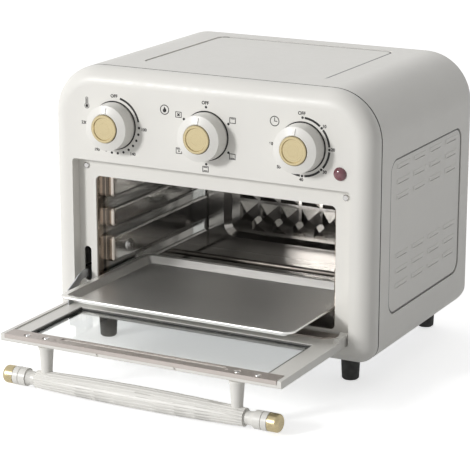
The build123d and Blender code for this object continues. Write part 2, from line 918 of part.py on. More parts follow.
# Round sensor fitting in a pad of the left wall
with BuildPart() as sensor_plug:
    pad_face = -(chamber_half_width - pad_out)
    with BuildSketch(beside(pad_face, plug_depth, plug_height)):
        Circle(plug_radius)
    extrude(amount=plug_flange)
    fillet(sensor_plug.faces().sort_by(Axis.X)[-1].edges(), plug_flange / 2)
    with BuildSketch(beside(pad_face, plug_depth, plug_height)):
        Circle(plug_face_radius)
    extrude(amount=2 * plug_flange)
    with BuildSketch(beside(pad_face, plug_depth, plug_height)):
        Circle(plug_stem_radius)
    extrude(amount=-pad_out - plug_flange)
    with BuildSketch(beside(pad_face, plug_depth, plug_height)):
        Circle(plug_bore)
    extrude(amount=2 * plug_flange, mode=Mode.SUBTRACT)
sensor_plug.part.label = "sensor_plug"
export_step(sensor_plug.part, "parts/sensor_plug.step")

# Floor and ceiling of the chamber
with BuildPart() as cavity_floor:
    chamber_middle = (flange_back + chamber_back) / 2
    with BuildSketch(level(chamber_floor - chamber_sheet, 0, chamber_middle)):
        Rectangle(2 * (chamber_half_width + chamber_sheet), chamber_back - flange_back)
    extrude(amount=chamber_sheet)
cavity_floor.part.label = "cavity_floor"
export_step(cavity_floor.part, "parts/cavity_floor.step")

with BuildPart() as cavity_ceiling:
    with BuildSketch(level(chamber_ceiling, 0, chamber_middle)):
        Rectangle(2 * (chamber_half_width + chamber_sheet), chamber_back - flange_back)
    extrude(amount=chamber_sheet)
    with BuildSketch(level(chamber_ceiling, 0, fan_depth)):
        Circle(guard_radius - guard_rim)
    extrude(amount=chamber_sheet, mode=Mode.SUBTRACT)
cavity_ceiling.part.label = "cavity_ceiling"
export_step(cavity_ceiling.part, "parts/cavity_ceiling.step")


# Back wall of the chamber: pressed panel with a field of pyramids
def press_outline(depth, half_across, low, high, corner):
    """Rounded outline of the pressed panel at one depth."""
    with BuildSketch(facing(depth)) as outline:
        with Locations((0, (low + high) / 2)):
            RectangleRounded(2 * half_across, high - low, corner)
    return outline.sketch


def press_bowl(inset):
    """Sunk block of the pressed panel, drawn in by an inset."""
    with BuildPart() as bowl:
        near = press_outline(chamber_back, press_half_width - inset, press_low + inset,
                             press_high - inset, press_corner - inset)
        far = press_outline(chamber_back + press_depth + chamber_sheet - inset,
                            press_inner_half_width - inset, press_inner_low + inset,
                            press_inner_high - inset, press_inner_corner - inset)
        loft([near.face(), far.face()])
    return bowl.part


def pyramid_strip(row_height, columns, base, height):
    """Row of blunt pyramids that stand on the pressed panel."""
    field_depth = chamber_back + press_depth
    with BuildPart() as strip:
        for column in range(columns):
            across = (column - (columns - 1) / 2) * pyramid_pitch
            with BuildSketch(facing(field_depth, row_height, across)) as foot:
                Rectangle(base, base)
            with BuildSketch(facing(field_depth - height, row_height, across)) as tip:
                Rectangle(pyramid_tip, pyramid_tip)
            loft([foot.sketch.face(), tip.sketch.face()])
            strip.pending_faces.clear()
    return strip.part


with BuildPart() as cavity_back:
    with BuildSketch(facing(chamber_back, (chamber_floor + chamber_ceiling) / 2)):
        Rectangle(2 * (chamber_half_width + chamber_sheet),
                  chamber_ceiling - chamber_floor + 2 * chamber_sheet)
    extrude(amount=-chamber_sheet)
    add(press_bowl(0))
    add(press_bowl(press_sheet), mode=Mode.SUBTRACT)
    for row in range(pyramid_rows):
        add(pyramid_strip(pyramid_row + row * pyramid_pitch, pyramid_columns, pyramid_base, pyramid_height))
    add(pyramid_strip(low_pyramid_row, pyramid_columns - 1, low_pyramid_base, low_pyramid_height))
cavity_back.part.label = "cavity_back"
export_step(cavity_back.part, "parts/cavity_back.step")


# Heating elements: straight rods across the chamber with ceramic ends outside its walls
def element_rod(depth, height):
    """Rod with a thin terminal at each end."""
    return turned_across(depth, height, [
        (-terminal_end, 0),
        (-terminal_end, terminal_radius),
        (-element_end, terminal_radius),
        (-element_end, element_radius),
        (element_end, element_radius),
        (element_end, terminal_radius),
        (terminal_end, terminal_radius),
        (terminal_end, 0),
    ])


with BuildPart() as lower_heating_elements:
    for depth in (lower_element_near, lower_element_far):
        add(element_rod(depth, lower_element_height))
lower_heating_elements.part.label = "lower_heating_elements"
export_step(lower_heating_elements.part, "parts/lower_heating_elements.step")

with BuildPart() as upper_heating_elements:
    for depth in (upper_element_near, upper_element_far):
        add(element_rod(depth, upper_element_height))
upper_heating_elements.part.label = "upper_heating_elements"
export_step(upper_heating_elements.part, "parts/upper_heating_elements.step")

with BuildPart() as element_insulators:
    seat = chamber_half_width - pad_out + pad_wall
    bore = element_radius + running_fit
    for depth, height in element_spots:
        for side in (-1, 1):
            add(turned_across(depth, height, [
                (side * seat, bore),
                (side * seat, insulator_collar),
                (side * (seat + insulator_collar_length), insulator_collar),
                (side * (seat + insulator_collar_length), insulator_radius),
                (side * element_end, insulator_radius),
                (side * element_end, bore),
            ]))
element_insulators.part.label = "element_insulators"
export_step(element_insulators.part, "parts/element_insulators.step")

# Fan: slotted guard under the ceiling, housing above it, motor on a bracket over the housing
housing_floor = chamber_ceiling + chamber_sheet
housing_top = housing_floor + housing_height
cooling_base = housing_top + cooling_lift
motor_base = cooling_base + cooling_height + motor_gap
bracket_height = motor_base + motor_height
fan_base = housing_floor + fan_lift

with BuildPart() as fan_guard:
    add(turned_upright(0, fan_depth, chamber_ceiling, [
        (0, -guard_drop),
        (guard_radius - guard_rim, -guard_drop),
        (guard_radius - guard_rim, -guard_sheet),
        (guard_radius, -guard_sheet),
        (guard_radius, 0),
        (guard_radius - guard_rim - guard_sheet, 0),
        (guard_radius - guard_rim - guard_sheet, guard_sheet - guard_drop),
        (0, guard_sheet - guard_drop),
    ]))
    with BuildSketch(level(chamber_ceiling - guard_drop, 0, fan_depth)):
        with PolarLocations(guard_slot_middle, guard_slots):
            SlotOverall(guard_slot_length, guard_slot_width)
        with PolarLocations(guard_hub_hole_middle, guard_hub_holes):
            Circle(guard_hub_hole_radius)
    extrude(amount=guard_sheet, mode=Mode.SUBTRACT)
fan_guard.part.label = "fan_guard"
export_step(fan_guard.part, "parts/fan_guard.step")

with BuildPart() as fan_housing:
    add(turned_upright(0, fan_depth, housing_floor, [
        (shaft_radius + shaft_hole_gap, housing_height),
        (housing_radius, housing_height),
        (housing_radius, housing_sheet),
        (housing_radius + housing_flange, housing_sheet),
        (housing_radius + housing_flange, 0),
        (housing_radius - housing_sheet, 0),
        (housing_radius - housing_sheet, housing_height - housing_sheet),
        (shaft_radius + shaft_hole_gap, housing_height - housing_sheet),
    ]))
fan_housing.part.label = "fan_housing"
export_step(fan_housing.part, "parts/fan_housing.step")


def blade_ring(base, height, hub_radius, outer_radius, thickness, turn, count):
    """Straight blades set at an angle around a hub."""
    with BuildPart() as blades:
        with BuildSketch(level(base, 0, fan_depth)):
            with PolarLocations(hub_radius, count):
                Rectangle(outer_radius - hub_radius, thickness, rotation=turn,
                          align=(Align.MIN, Align.CENTER))
        extrude(amount=height)
    return blades.part


with BuildPart() as convection_fan:
    add(turned_upright(0, fan_depth, fan_base, [
        (shaft_radius, 0),
        (fan_hub_radius, 0),
        (fan_hub_radius, fan_hub_height - fan_disc),
        (fan_radius - fan_hub_radius, fan_hub_height - fan_disc),
        (fan_radius - fan_hub_radius, fan_hub_height),
        (shaft_radius, fan_hub_height),
    ]))
    add(blade_ring(fan_base, fan_blade_height, fan_hub_radius - fan_blade_thickness, fan_radius,
                   fan_blade_thickness, fan_blade_turn, fan_blades))
    with BuildSketch(level(fan_base, 0, fan_depth)):
        Circle(shaft_radius)
    extrude(amount=fan_hub_height, mode=Mode.SUBTRACT)
convection_fan.part.label = "convection_fan"
export_step(convection_fan.part, "parts/convection_fan.step")

with BuildPart() as fan_shaft:
    with BuildSketch(level(fan_base, 0, fan_depth)):
        Circle(shaft_radius)
    extrude(amount=motor_base + motor_height / 2 - fan_base)
fan_shaft.part.label = "fan_shaft"
export_step(fan_shaft.part, "parts/fan_shaft.step")

with BuildPart() as cooling_fan:
    with BuildSketch(level(cooling_base, 0, fan_depth)):
        Circle(cooling_hub_radius)
    extrude(amount=cooling_height)
    add(blade_ring(cooling_base, cooling_height, cooling_hub_radius - cooling_blade_thickness,
                   cooling_radius, cooling_blade_thickness, cooling_blade_turn, cooling_blades))
    with BuildSketch(level(cooling_base, 0, fan_depth)):
        Circle(shaft_radius)
    extrude(amount=cooling_height, mode=Mode.SUBTRACT)
cooling_fan.part.label = "cooling_fan"
export_step(cooling_fan.part, "parts/cooling_fan.step")

with BuildPart() as fan_motor:
    with BuildSketch(level(motor_base, 0, fan_depth)):
        Circle(motor_radius)
    extrude(amount=motor_height)
    fillet(fan_motor.faces().sort_by(Axis.Z)[0].edges(), motor_edge)
    with BuildSketch(level(motor_base, 0, fan_depth)):
        Circle(shaft_radius + running_fit)
    extrude(amount=motor_height / 2 + motor_edge, mode=Mode.SUBTRACT)
fan_motor.part.label = "fan_motor"
export_step(fan_motor.part, "parts/fan_motor.step")

with BuildPart() as motor_bracket:
    leg_outer = bracket_half_length
    leg_inner = bracket_half_length - bracket_sheet
    with BuildSketch(facing(fan_depth)):
        with BuildLine():
            Polyline(
                (-leg_outer - bracket_foot, housing_top),
                (-leg_inner, housing_top),
                (-leg_inner, bracket_height),
                (leg_inner, bracket_height),
                (leg_inner, housing_top),
                (leg_outer + bracket_foot, housing_top),
                (leg_outer + bracket_foot, housing_top + bracket_sheet),
                (leg_outer, housing_top + bracket_sheet),
                (leg_outer, bracket_height + bracket_sheet),
                (-leg_outer, bracket_height + bracket_sheet),
                (-leg_outer, housing_top + bracket_sheet),
                (-leg_outer - bracket_foot, housing_top + bracket_sheet),
                close=True,
            )
        make_face()
    extrude(amount=bracket_width / 2, both=True)
motor_bracket.part.label = "motor_bracket"
export_step(motor_bracket.part, "parts/motor_bracket.step")

# Thermal cut-out clipped to the ceiling of the chamber
with BuildPart() as thermal_cutout:
    with BuildSketch(level(housing_floor, cutout_across, fan_depth)):
        SlotOverall(2 * (cutout_radius + cutout_ear), 2 * cutout_radius)
    extrude(amount=cutout_flange)
    with BuildSketch(level(housing_floor, cutout_across, fan_depth)):
        Circle(cutout_radius)
    extrude(amount=cutout_height)
    with BuildSketch(level(housing_floor + cutout_height, cutout_across, fan_depth)):
        with GridLocations(cutout_radius, 1, 2, 1):
            Circle(cutout_lead_radius)
    extrude(amount=cutout_lead_height)
thermal_cutout.part.label = "thermal_cutout"
export_step(thermal_cutout.part, "parts/thermal_cutout.step")

# Plate that carries the three controls behind the front face, standing on the door recess
with BuildPart() as control_bracket:
    plate_low = dial_height - control_plate_half_height
    with BuildSketch(facing(control_plate_depth, dial_height)):
        Rectangle(2 * control_plate_half_width, 2 * control_plate_half_height)
    extrude(amount=-control_plate)
    recess_top_outer = recess_high + recess_wall
    with BuildSketch(facing(control_plate_depth, (plate_low + recess_top_outer) / 2)):
        with GridLocations(2 * control_plate_half_width - plate_leg_width, 1, 2, 1):
            Rectangle(plate_leg_width, plate_low - recess_top_outer)
    extrude(amount=-control_plate)
    with BuildSketch(facing(control_plate_depth, dial_height)):
        with Locations(*[(across, 0) for across in dials]):
            Circle(control_neck_radius)
    extrude(amount=-control_plate, mode=Mode.SUBTRACT)
control_bracket.part.label = "control_bracket"
export_step(control_bracket.part, "parts/control_bracket.step")

control_face = control_plate_depth + control_plate


def control_neck(across):
    """Threaded neck that comes through the plate towards the knob."""
    with BuildPart() as neck:
        with BuildSketch(facing(control_face, dial_height, across)):
            Circle(control_neck_radius)
        extrude(amount=control_face - control_neck_front)
    return neck.part


def spindle_bore(across):
    """Hole for the spindle, with its running clearance."""
    with BuildPart() as hole:
        with BuildSketch(facing(control_neck_front, dial_height, across)):
            Circle(spindle_radius + running_fit)
        extrude(amount=-(spindle_back + touch_gap - control_neck_front))
    return hole.part


def terminal_tabs(across, depth):
    """Row of flat terminals on the back of a control."""
    with BuildPart() as tabs:
        with BuildSketch(facing(depth, dial_height, across)):
            with GridLocations(tab_pitch, 1, 2, 1):
                Rectangle(tab_thickness, tab_width)
        extrude(amount=-tab_length)
    return tabs.part


def boxed_control(across, width, height, depth):
    """Control with a box body, a neck, a spindle bore and terminals."""
    with BuildPart() as control:
        with BuildSketch(facing(control_face, dial_height, across)):
            Rectangle(width, height)
        extrude(amount=-depth)
        fillet(control.edges().filter_by(Axis.Y), control_edge)
        add(control_neck(across))
        add(terminal_tabs(across, control_face + depth))
        add(spindle_bore(across), mode=Mode.SUBTRACT)
    return control.part


with BuildPart() as thermostat:
    add(boxed_control(dials[0], thermostat_width, thermostat_height, thermostat_depth))
thermostat.part.label = "thermostat"
export_step(thermostat.part, "parts/thermostat.step")

with BuildPart() as function_switch:
    add(boxed_control(dials[1], switch_width, switch_height, switch_depth))
function_switch.part.label = "function_switch"
export_step(function_switch.part, "parts/function_switch.step")

with BuildPart() as timer:
    with BuildSketch(facing(control_face, dial_height, dials[2])):
        Circle(timer_radius)
    extrude(amount=-timer_depth)
    fillet(timer.faces().sort_by(Axis.Y)[-1].edges(), control_edge)
    add(control_neck(dials[2]))
    add(terminal_tabs(dials[2], control_face + timer_depth))
    add(spindle_bore(dials[2]), mode=Mode.SUBTRACT)
timer.part.label = "timer"
export_step(timer.part, "parts/timer.step")


# Knobs: almost straight sides, a coned front with a raised pointer, a seat for the cap
def make_knob(across):
    """Knob body of one dial."""
    cone_rise = (knob_front - knob_shoulder) / (knob_shoulder_radius - cap_radius - knob_edge)
    outer_surface = knob_shoulder + (knob_shoulder_radius - pointer_outer) * cone_rise
    inner_surface = knob_shoulder + (knob_shoulder_radius - pointer_inner) * cone_rise
    with BuildPart() as knob:
        add(turned_outward(across, dial_height, [
            (0, -knob_gap),
            (knob_radius - knob_edge, -knob_gap),
            (knob_radius - knob_edge, -knob_gap - knob_base_step),
            (knob_radius, -knob_gap - knob_base_step),
            (knob_shoulder_radius, -knob_shoulder),
            (cap_radius + knob_edge, -knob_front),
            (cap_radius, -knob_front),
            (cap_radius, -knob_front + cap_seat),
            (0, -knob_front + cap_seat),
        ]))
        with BuildSketch(beside(across, 0, dial_height)):
            with BuildLine():
                Polyline(
                    (-outer_surface + pointer_root, pointer_outer),
                    (-outer_surface - pointer_out, pointer_outer),
                    (-inner_surface - pointer_out, pointer_inner),
                    (-inner_surface + pointer_root, pointer_inner),
                    close=True,
                )
            make_face()
        extrude(amount=pointer_width / 2, both=True)
        with BuildSketch(facing(0, dial_height, across)):
            Circle(spindle_radius)
        extrude(amount=spindle_front, mode=Mode.SUBTRACT)
    return knob.part


def make_cap(across):
    """Metal cap of one knob, with a raised rim round a sunk disc and a thin gap round it in its seat."""
    rim = cap_radius - cap_gap
    return turned_outward(across, dial_height, [
        (0, -knob_front + cap_seat),
        (rim, -knob_front + cap_seat),
        (rim, -cap_front + cap_edge),
        (rim - cap_edge, -cap_front),
        (cap_disc_radius + cap_edge, -cap_front),
        (cap_disc_radius, -cap_front + cap_disc_depth),
        (0, -cap_front + cap_disc_depth),
    ])


def make_spindle(across):
    """Spindle that turns in a control and carries its knob."""
    with BuildPart() as spindle:
        with BuildSketch(facing(spindle_back, dial_height, across)):
            Circle(spindle_radius)
        extrude(amount=spindle_back + spindle_front)
    return spindle.part


for name, across in zip(("temperature", "function", "timer"), dials):
    with BuildPart() as knob_body:
        add(make_knob(across))
    knob_body.part.label = name + "_knob"
    export_step(knob_body.part, "parts/" + name + "_knob.step")
    with BuildPart() as knob_cap:
        add(make_cap(across))
    knob_cap.part.label = name + "_cap"
    export_step(knob_cap.part, "parts/" + name + "_cap.step")
    with BuildPart() as knob_spindle:
        add(make_spindle(across))
    knob_spindle.part.label = name + "_spindle"
    export_step(knob_spindle.part, "parts/" + name + "_spindle.step")

# Power lamp: domed lens in the front face with a small bulb in its hollow stem
with BuildPart() as power_lens:
    with BuildSketch(level(lamp_height, lamp_across)):
        with BuildLine():
            dome_middle = radians(45)
            dome = ThreePointArc(
                (0, -lens_flange - lens_dome),
                (lens_radius * sin(dome_middle), -lens_flange - lens_dome * cos(dome_middle)),
                (lens_radius, -lens_flange),
            )
            Polyline(
                dome @ 1,
                (lens_radius, 0),
                (lens_stem_radius, 0),
                (lens_stem_radius, lens_stem_length),
                (lens_stem_radius - lens_wall, lens_stem_length),
                (lens_stem_radius - lens_wall, 0),
                (0, 0),
                dome @ 0,
            )
        make_face()
    revolve(axis=Axis((lamp_across, front_y, lamp_height), (0, 1, 0)))
power_lens.part.label = "power_lens"
export_step(power_lens.part, "parts/power_lens.step")

with BuildPart() as power_lamp:
    bulb_front = lens_stem_length - lamp_bulb_length + touch_gap
    add(turned_outward(lamp_across, lamp_height, [
        (0, bulb_front),
        (lamp_bulb_radius, bulb_front + lamp_bulb_radius / 2),
        (lamp_bulb_radius, lens_stem_length),
        (lens_stem_radius, lens_stem_length),
        (lens_stem_radius, lens_stem_length + lamp_holder_length),
        (0, lens_stem_length + lamp_holder_length),
    ]))
power_lamp.part.label = "power_lamp"
export_step(power_lamp.part, "parts/power_lamp.step")


# Door, drawn as it lies open in front of the hinge
def along_door(distance):
    """Depth of a point that lies a distance from the hinge along the open door."""
    return hinge_depth - distance


door_middle = along_door((door_length - trim_lip_thickness - door_heel) / 2)
frame_length = door_length - trim_lip_thickness + door_heel
free_edge = along_door(door_length)
screw_line = free_edge + door_screw_from_edge
glass_near = along_door(window_near - glass_border)
glass_far = along_door(window_far + glass_border)
glass_top = door_face - glass_below_face
glass_bottom = glass_top - glass_thickness
dimple_spots = [
    (side * across, screw_line) for side in (-1, 1) for across in (post_across, trim_screw_across)
]

with BuildPart() as door_frame:
    with BuildSketch(level(door_underside, 0, door_middle)):
        Rectangle(2 * door_half_width, frame_length)
    extrude(amount=door_thickness)
    lower_edges = door_frame.edges().group_by(Axis.Z)[0]
    fillet(lower_edges.sort_by(Axis.Y)[-1], door_heel_round)
    fillet(door_frame.edges().group_by(Axis.Z)[0].filter_by(Axis.X).sort_by(Axis.Y)[0], door_edge_round)
    with BuildSketch(level(door_face, 0, door_middle)):
        with GridLocations(2 * door_half_width - rim_width, 1, 2, 1):
            Rectangle(rim_width, frame_length)
    extrude(amount=rim_height)
    ear_middle = along_door((ear_near + ear_far) / 2)
    with BuildSketch(level(door_face, 0, ear_middle)):
        with GridLocations(2 * door_half_width - ear_width, 1, 2, 1):
            Rectangle(ear_width, ear_far - ear_near)
    extrude(amount=ear_height)
    for side in (-1, 1):
        knuckle_side = side * (door_half_width - knuckle_width / 2)
        with BuildSketch(beside(knuckle_side, hinge_depth, hinge_height)):
            Circle(knuckle_radius)
            with Locations((0, -hinge_above_face)):
                Rectangle(2 * knuckle_radius, 2 * hinge_above_face, align=(Align.CENTER, Align.CENTER))
        extrude(amount=knuckle_width / 2, both=True)
    with BuildSketch(beside(0, hinge_depth, hinge_height)):
        Circle(hinge_pin_radius + running_fit)
    extrude(amount=door_half_width, both=True, mode=Mode.SUBTRACT)
    with BuildSketch(level(glass_bottom, 0, (glass_near + glass_far) / 2)):
        Rectangle(2 * (glass_half_width + touch_gap), glass_near - glass_far + 2 * touch_gap)
    extrude(amount=door_thickness, mode=Mode.SUBTRACT)
    window_middle = along_door((window_near + window_far) / 2)
    with BuildSketch(level(door_underside, 0, window_middle)):
        RectangleRounded(2 * window_half_width, window_far - window_near, window_corner)
    extrude(amount=door_thickness, mode=Mode.SUBTRACT)
    with BuildSketch(level(door_underside)):
        with Locations(*dimple_spots):
            Circle(screw_radius)
    extrude(amount=door_thickness, mode=Mode.SUBTRACT)
    edge_face = free_edge + trim_lip_thickness
    with BuildSketch(facing(edge_face)):
        for side in (-1, 1):
            with BuildLine():
                notch_top = door_face - trim_lip
                Polyline(
                    (side * notch_across - notch_width / 2, notch_top),
                    (side * notch_across + notch_width / 2, notch_top),
                    (side * notch_across, notch_top - notch_height),
                    close=True,
                )
            make_face()
    extrude(amount=-notch_depth, mode=Mode.SUBTRACT)
door_frame.part.label = "door_frame"
export_step(door_frame.part, "parts/door_frame.step")

with BuildPart() as door_glass:
    with BuildSketch(level(glass_bottom, 0, (glass_near + glass_far) / 2)):
        Rectangle(2 * glass_half_width, glass_near - glass_far)
    extrude(amount=glass_thickness)
door_glass.part.label = "door_glass"
export_step(door_glass.part, "parts/door_glass.step")

with BuildPart() as door_gasket:
    with BuildSketch(level(glass_top, 0, (glass_near + glass_far) / 2)):
        Rectangle(2 * glass_half_width, glass_near - glass_far)
        Rectangle(2 * (glass_half_width - gasket_width), glass_near - glass_far - 2 * gasket_width,
                  mode=Mode.SUBTRACT)
    extrude(amount=gasket_height)
door_gasket.part.label = "door_gasket"
export_step(door_gasket.part, "parts/door_gasket.step")

# Steel strip along the free edge, with a lip turned down over the edge
with BuildPart() as door_trim_strip:
    with BuildSketch(level(door_face, 0, free_edge + trim_width / 2)):
        Rectangle(2 * trim_half_width, trim_width)
    extrude(amount=trim_thickness)
    with BuildSketch(level(door_face - trim_lip, 0, free_edge + trim_lip_thickness / 2)):
        Rectangle(2 * trim_half_width, trim_lip_thickness)
    extrude(amount=trim_lip)
    with BuildSketch(level(door_face, 0, free_edge + trim_slot_from_edge)):
        SlotOverall(2 * trim_slot_half_length, trim_slot_width)
    extrude(amount=trim_thickness, mode=Mode.SUBTRACT)
    for across, depth in dimple_spots:
        add(turned_upright(across, depth, door_face + trim_thickness, [
            (0, 0),
            (dimple_radius, 0),
            (screw_head_radius, -dimple_depth),
            (0, -dimple_depth),
        ]), mode=Mode.SUBTRACT)
    for side in (-1, 1):
        add(turned_upright(side * small_screw_across, screw_line, door_face + trim_thickness, [
            (0, 0),
            (small_dimple_radius, 0),
            (small_dimple_radius / 2, -dimple_depth),
            (0, -dimple_depth),
        ]), mode=Mode.SUBTRACT)
    with BuildSketch(level(door_face)):
        with Locations(*dimple_spots):
            Circle(screw_radius)
    extrude(amount=trim_thickness, mode=Mode.SUBTRACT)
door_trim_strip.part.label = "door_trim_strip"
export_step(door_trim_strip.part, "parts/door_trim_strip.step")


def door_screw(across, length):
    """Screw whose low head lies in a dimple of the trim strip."""
    head_base = door_face + trim_thickness - dimple_depth
    return turned_upright(across, screw_line, head_base, [
        (0, dimple_depth),
        (screw_head_radius - screw_slot, dimple_depth),
        (screw_head_radius - screw_slot / 2, 0),
        (screw_radius, 0),
        (screw_radius, -length),
        (0, -length),
    ])


with BuildPart() as trim_screws:
    for side in (-1, 1):
        add(door_screw(side * trim_screw_across, door_thickness - touch_gap))
trim_screws.part.label = "trim_screws"
export_step(trim_screws.part, "parts/trim_screws.step")

with BuildPart() as handle_screws:
    for side in (-1, 1):
        add(door_screw(side * post_across, handle_screw_length))
handle_screws.part.label = "handle_screws"
export_step(handle_screws.part, "parts/handle_screws.step")

# Steel strip along the hinge edge, with one end cut off at an angle
with BuildPart() as door_hinge_strip:
    with BuildSketch(level(door_face)):
        with BuildLine():
            strip_back = along_door(hinge_strip_near)
            strip_front = along_door(hinge_strip_far)
            Polyline(
                (-hinge_strip_half_width, strip_front),
                (hinge_strip_half_width - hinge_strip_cut, strip_front),
                (hinge_strip_half_width, strip_front + hinge_strip_cut),
                (hinge_strip_half_width, strip_back),
                (-hinge_strip_half_width, strip_back),
                close=True,
            )
        make_face()
    extrude(amount=hinge_strip_thickness)
door_hinge_strip.part.label = "door_hinge_strip"
export_step(door_hinge_strip.part, "parts/door_hinge_strip.step")

# Hinge pins: held by the frame, running in the door
with BuildPart() as hinge_pins:
    for side in (-1, 1):
        wall_outer = recess_half_width + recess_wall
        add(turned_across(hinge_depth, hinge_height, [
            (side * (wall_outer - recess_wall - hinge_pin_reach), 0),
            (side * (wall_outer - recess_wall - hinge_pin_reach), hinge_pin_radius),
            (side * wall_outer, hinge_pin_radius),
            (side * wall_outer, hinge_head_radius),
            (side * (wall_outer + hinge_head), hinge_head_radius),
            (side * (wall_outer + hinge_head), 0),
        ]))
hinge_pins.part.label = "hinge_pins"
export_step(hinge_pins.part, "parts/hinge_pins.step")


# Stay arm: a plate on the door whose curved tail runs through the slot, concentric with the hinge
def around_hinge(radius, angle):
    """Depth and height of a point at a radius and an angle round the hinge."""
    return (hinge_depth + radius * cos(radians(angle)), hinge_height + radius * sin(radians(angle)))


arm_middle_angle = (arm_tail_angle + arm_front_angle) / 2
with BuildPart() as door_arm:
    with BuildSketch(beside(arm_across)):
        with BuildLine():
            ThreePointArc(
                around_hinge(arm_outer_radius, arm_tail_angle),
                around_hinge(arm_outer_radius, arm_middle_angle),
                around_hinge(arm_outer_radius, arm_front_angle),
            )
            Polyline(
                around_hinge(arm_outer_radius, arm_front_angle),
                (along_door(arm_base_far), door_face + arm_shoulder_height),
                (along_door(arm_base_far), door_face),
                (along_door(arm_base_near), door_face),
                around_hinge(arm_inner_radius, arm_front_angle),
            )
            ThreePointArc(
                around_hinge(arm_inner_radius, arm_front_angle),
                around_hinge(arm_inner_radius, arm_middle_angle),
                around_hinge(arm_inner_radius, arm_tail_angle),
            )
            Line(
                around_hinge(arm_inner_radius, arm_tail_angle),
                around_hinge(arm_outer_radius, arm_tail_angle),
            )
        make_face()
        with Locations(around_hinge(arm_hook_radius, arm_hook_angle)):
            Circle(arm_hook_hole, mode=Mode.SUBTRACT)
    extrude(amount=arm_thickness / 2, both=True)
door_arm.part.label = "door_arm"
export_step(door_arm.part, "parts/door_arm.step")

# Anchor for the spring, standing on the bottom pan
with BuildPart() as spring_anchor:
    pan_top = pan_underside + pan_sheet
    plate_across = arm_across - arm_thickness
    with BuildSketch(beside(plate_across, anchor_depth)):
        with Locations((0, (pan_top + anchor_height + anchor_top) / 2)):
            Rectangle(anchor_width, anchor_height + anchor_top - pan_top)
        with Locations((0, anchor_height)):
            Circle(arm_hook_hole, mode=Mode.SUBTRACT)
    extrude(amount=-anchor_sheet)
    with BuildSketch(level(pan_top, plate_across, anchor_depth)):
        Rectangle(anchor_foot, anchor_width, align=(Align.MIN, Align.CENTER))
    extrude(amount=anchor_sheet)
spring_anchor.part.label = "spring_anchor"
export_step(spring_anchor.part, "parts/spring_anchor.step")

# Spring from the tail of the stay arm to the anchor
hook = around_hinge(arm_hook_radius, arm_hook_angle)
run = (anchor_depth - hook[0], anchor_height - hook[1])
run_length = sqrt(run[0] ** 2 + run[1] ** 2)
lead = (arm_thickness + spring_wire) / 2 + touch_gap
with BuildPart() as arm_spring:
    spring_plane = Plane(
        origin=(arm_across + lead, front_y + hook[0], hook[1]),
        x_dir=(1, 0, 0),
        z_dir=(0, run[0] / run_length, run[1] / run_length),
    )
    with BuildSketch(spring_plane):
        Circle(spring_wire / 2)
    extrude(amount=run_length)
    with BuildSketch(spring_plane.offset(spring_end)):
        Circle(spring_radius)
    extrude(amount=run_length - 2 * spring_end)
arm_spring.part.label = "arm_spring"
export_step(arm_spring.part, "parts/arm_spring.step")


# Handle: fluted barrel grip on two posts, with turned collars and metal end caps
def grip_radius_at(distance):
    """Radius of the barrel at a distance from its middle."""
    return grip_middle_radius - (grip_middle_radius - grip_end_radius) * (distance / grip_half_length) ** 2


post_bottom = bar_height + grip_radius_at(post_across) - post_socket
with BuildPart() as flute:
    with BuildLine(facing(bar_depth, bar_height)):
        groove_line = ThreePointArc(
            (-grip_half_length, grip_end_radius + flute_sunk),
            (0, grip_middle_radius + flute_sunk),
            (grip_half_length, grip_end_radius + flute_sunk),
        )
    start_plane = Plane(
        origin=groove_line @ 0,
        z_dir=groove_line % 0,
    )
    with BuildSketch(start_plane):
        Circle(flute_radius)
    sweep()

with BuildPart() as handle_grip:
    with BuildSketch(facing(bar_depth, bar_height)):
        with BuildLine():
            ThreePointArc(
                (-grip_half_length, grip_end_radius),
                (0, grip_middle_radius),
                (grip_half_length, grip_end_radius),
            )
            Polyline(
                (grip_half_length, grip_end_radius),
                (grip_half_length, 0),
                (-grip_half_length, 0),
                (-grip_half_length, grip_end_radius),
            )
        make_face()
    bar_axis = Axis((0, front_y + bar_depth, bar_height), (1, 0, 0))
    revolve(axis=bar_axis)
    flute_turn = 360 / flutes
    for step in range(flutes):
        add(flute.part.rotate(bar_axis, flute_turn / 2 + step * flute_turn), mode=Mode.SUBTRACT)
    with BuildSketch(level(post_bottom, 0, screw_line)):
        with GridLocations(2 * post_across, 1, 2, 1):
            Circle(post_bottom_radius)
    extrude(amount=bar_drop, mode=Mode.SUBTRACT)
handle_grip.part.label = "handle_grip"
export_step(handle_grip.part, "parts/handle_grip.step")

with BuildPart() as handle_posts:
    for side in (-1, 1):
        add(turned_upright(side * post_across, screw_line, 0, [
            (0, door_underside),
            (post_flange_radius, door_underside),
            (post_flange_radius, door_underside - post_flange),
            (post_top_radius, door_underside - post_flange),
            (post_bottom_radius, bar_height + grip_middle_radius),
            (post_bottom_radius, post_bottom),
            (0, post_bottom),
        ]))
        add(turned_upright(side * post_across, screw_line, 0, [
            (0, door_underside),
            (screw_radius, door_underside),
            (screw_radius, door_underside - handle_screw_length),
            (0, door_underside - handle_screw_length),
        ]), mode=Mode.SUBTRACT)
handle_posts.part.label = "handle_posts"
export_step(handle_posts.part, "parts/handle_posts.step")

with BuildPart() as handle_collars:
    for side in (-1, 1):
        add(turned_across(bar_depth, bar_height, [
            (side * grip_half_length, 0),
            (side * grip_half_length, neck_radius),
            (side * (neck_flare_end + grip_half_length) / 2, neck_radius),
            (side * neck_flare_end, (neck_radius + collar_radius) / 2),
            (side * neck_flare_end, collar_radius),
            (side * collar_end, collar_radius),
            (side * collar_end, groove_radius),
            (side * (collar_end + groove_width), groove_radius),
            (side * (collar_end + groove_width), collar_radius),
            (side * ring_end, collar_radius),
            (side * ring_end, cap_spigot_radius),
            (side * (ring_end + cap_spigot_length), cap_spigot_radius),
            (side * (ring_end + cap_spigot_length), 0),
        ]))
handle_collars.part.label = "handle_collars"
export_step(handle_collars.part, "parts/handle_collars.step")


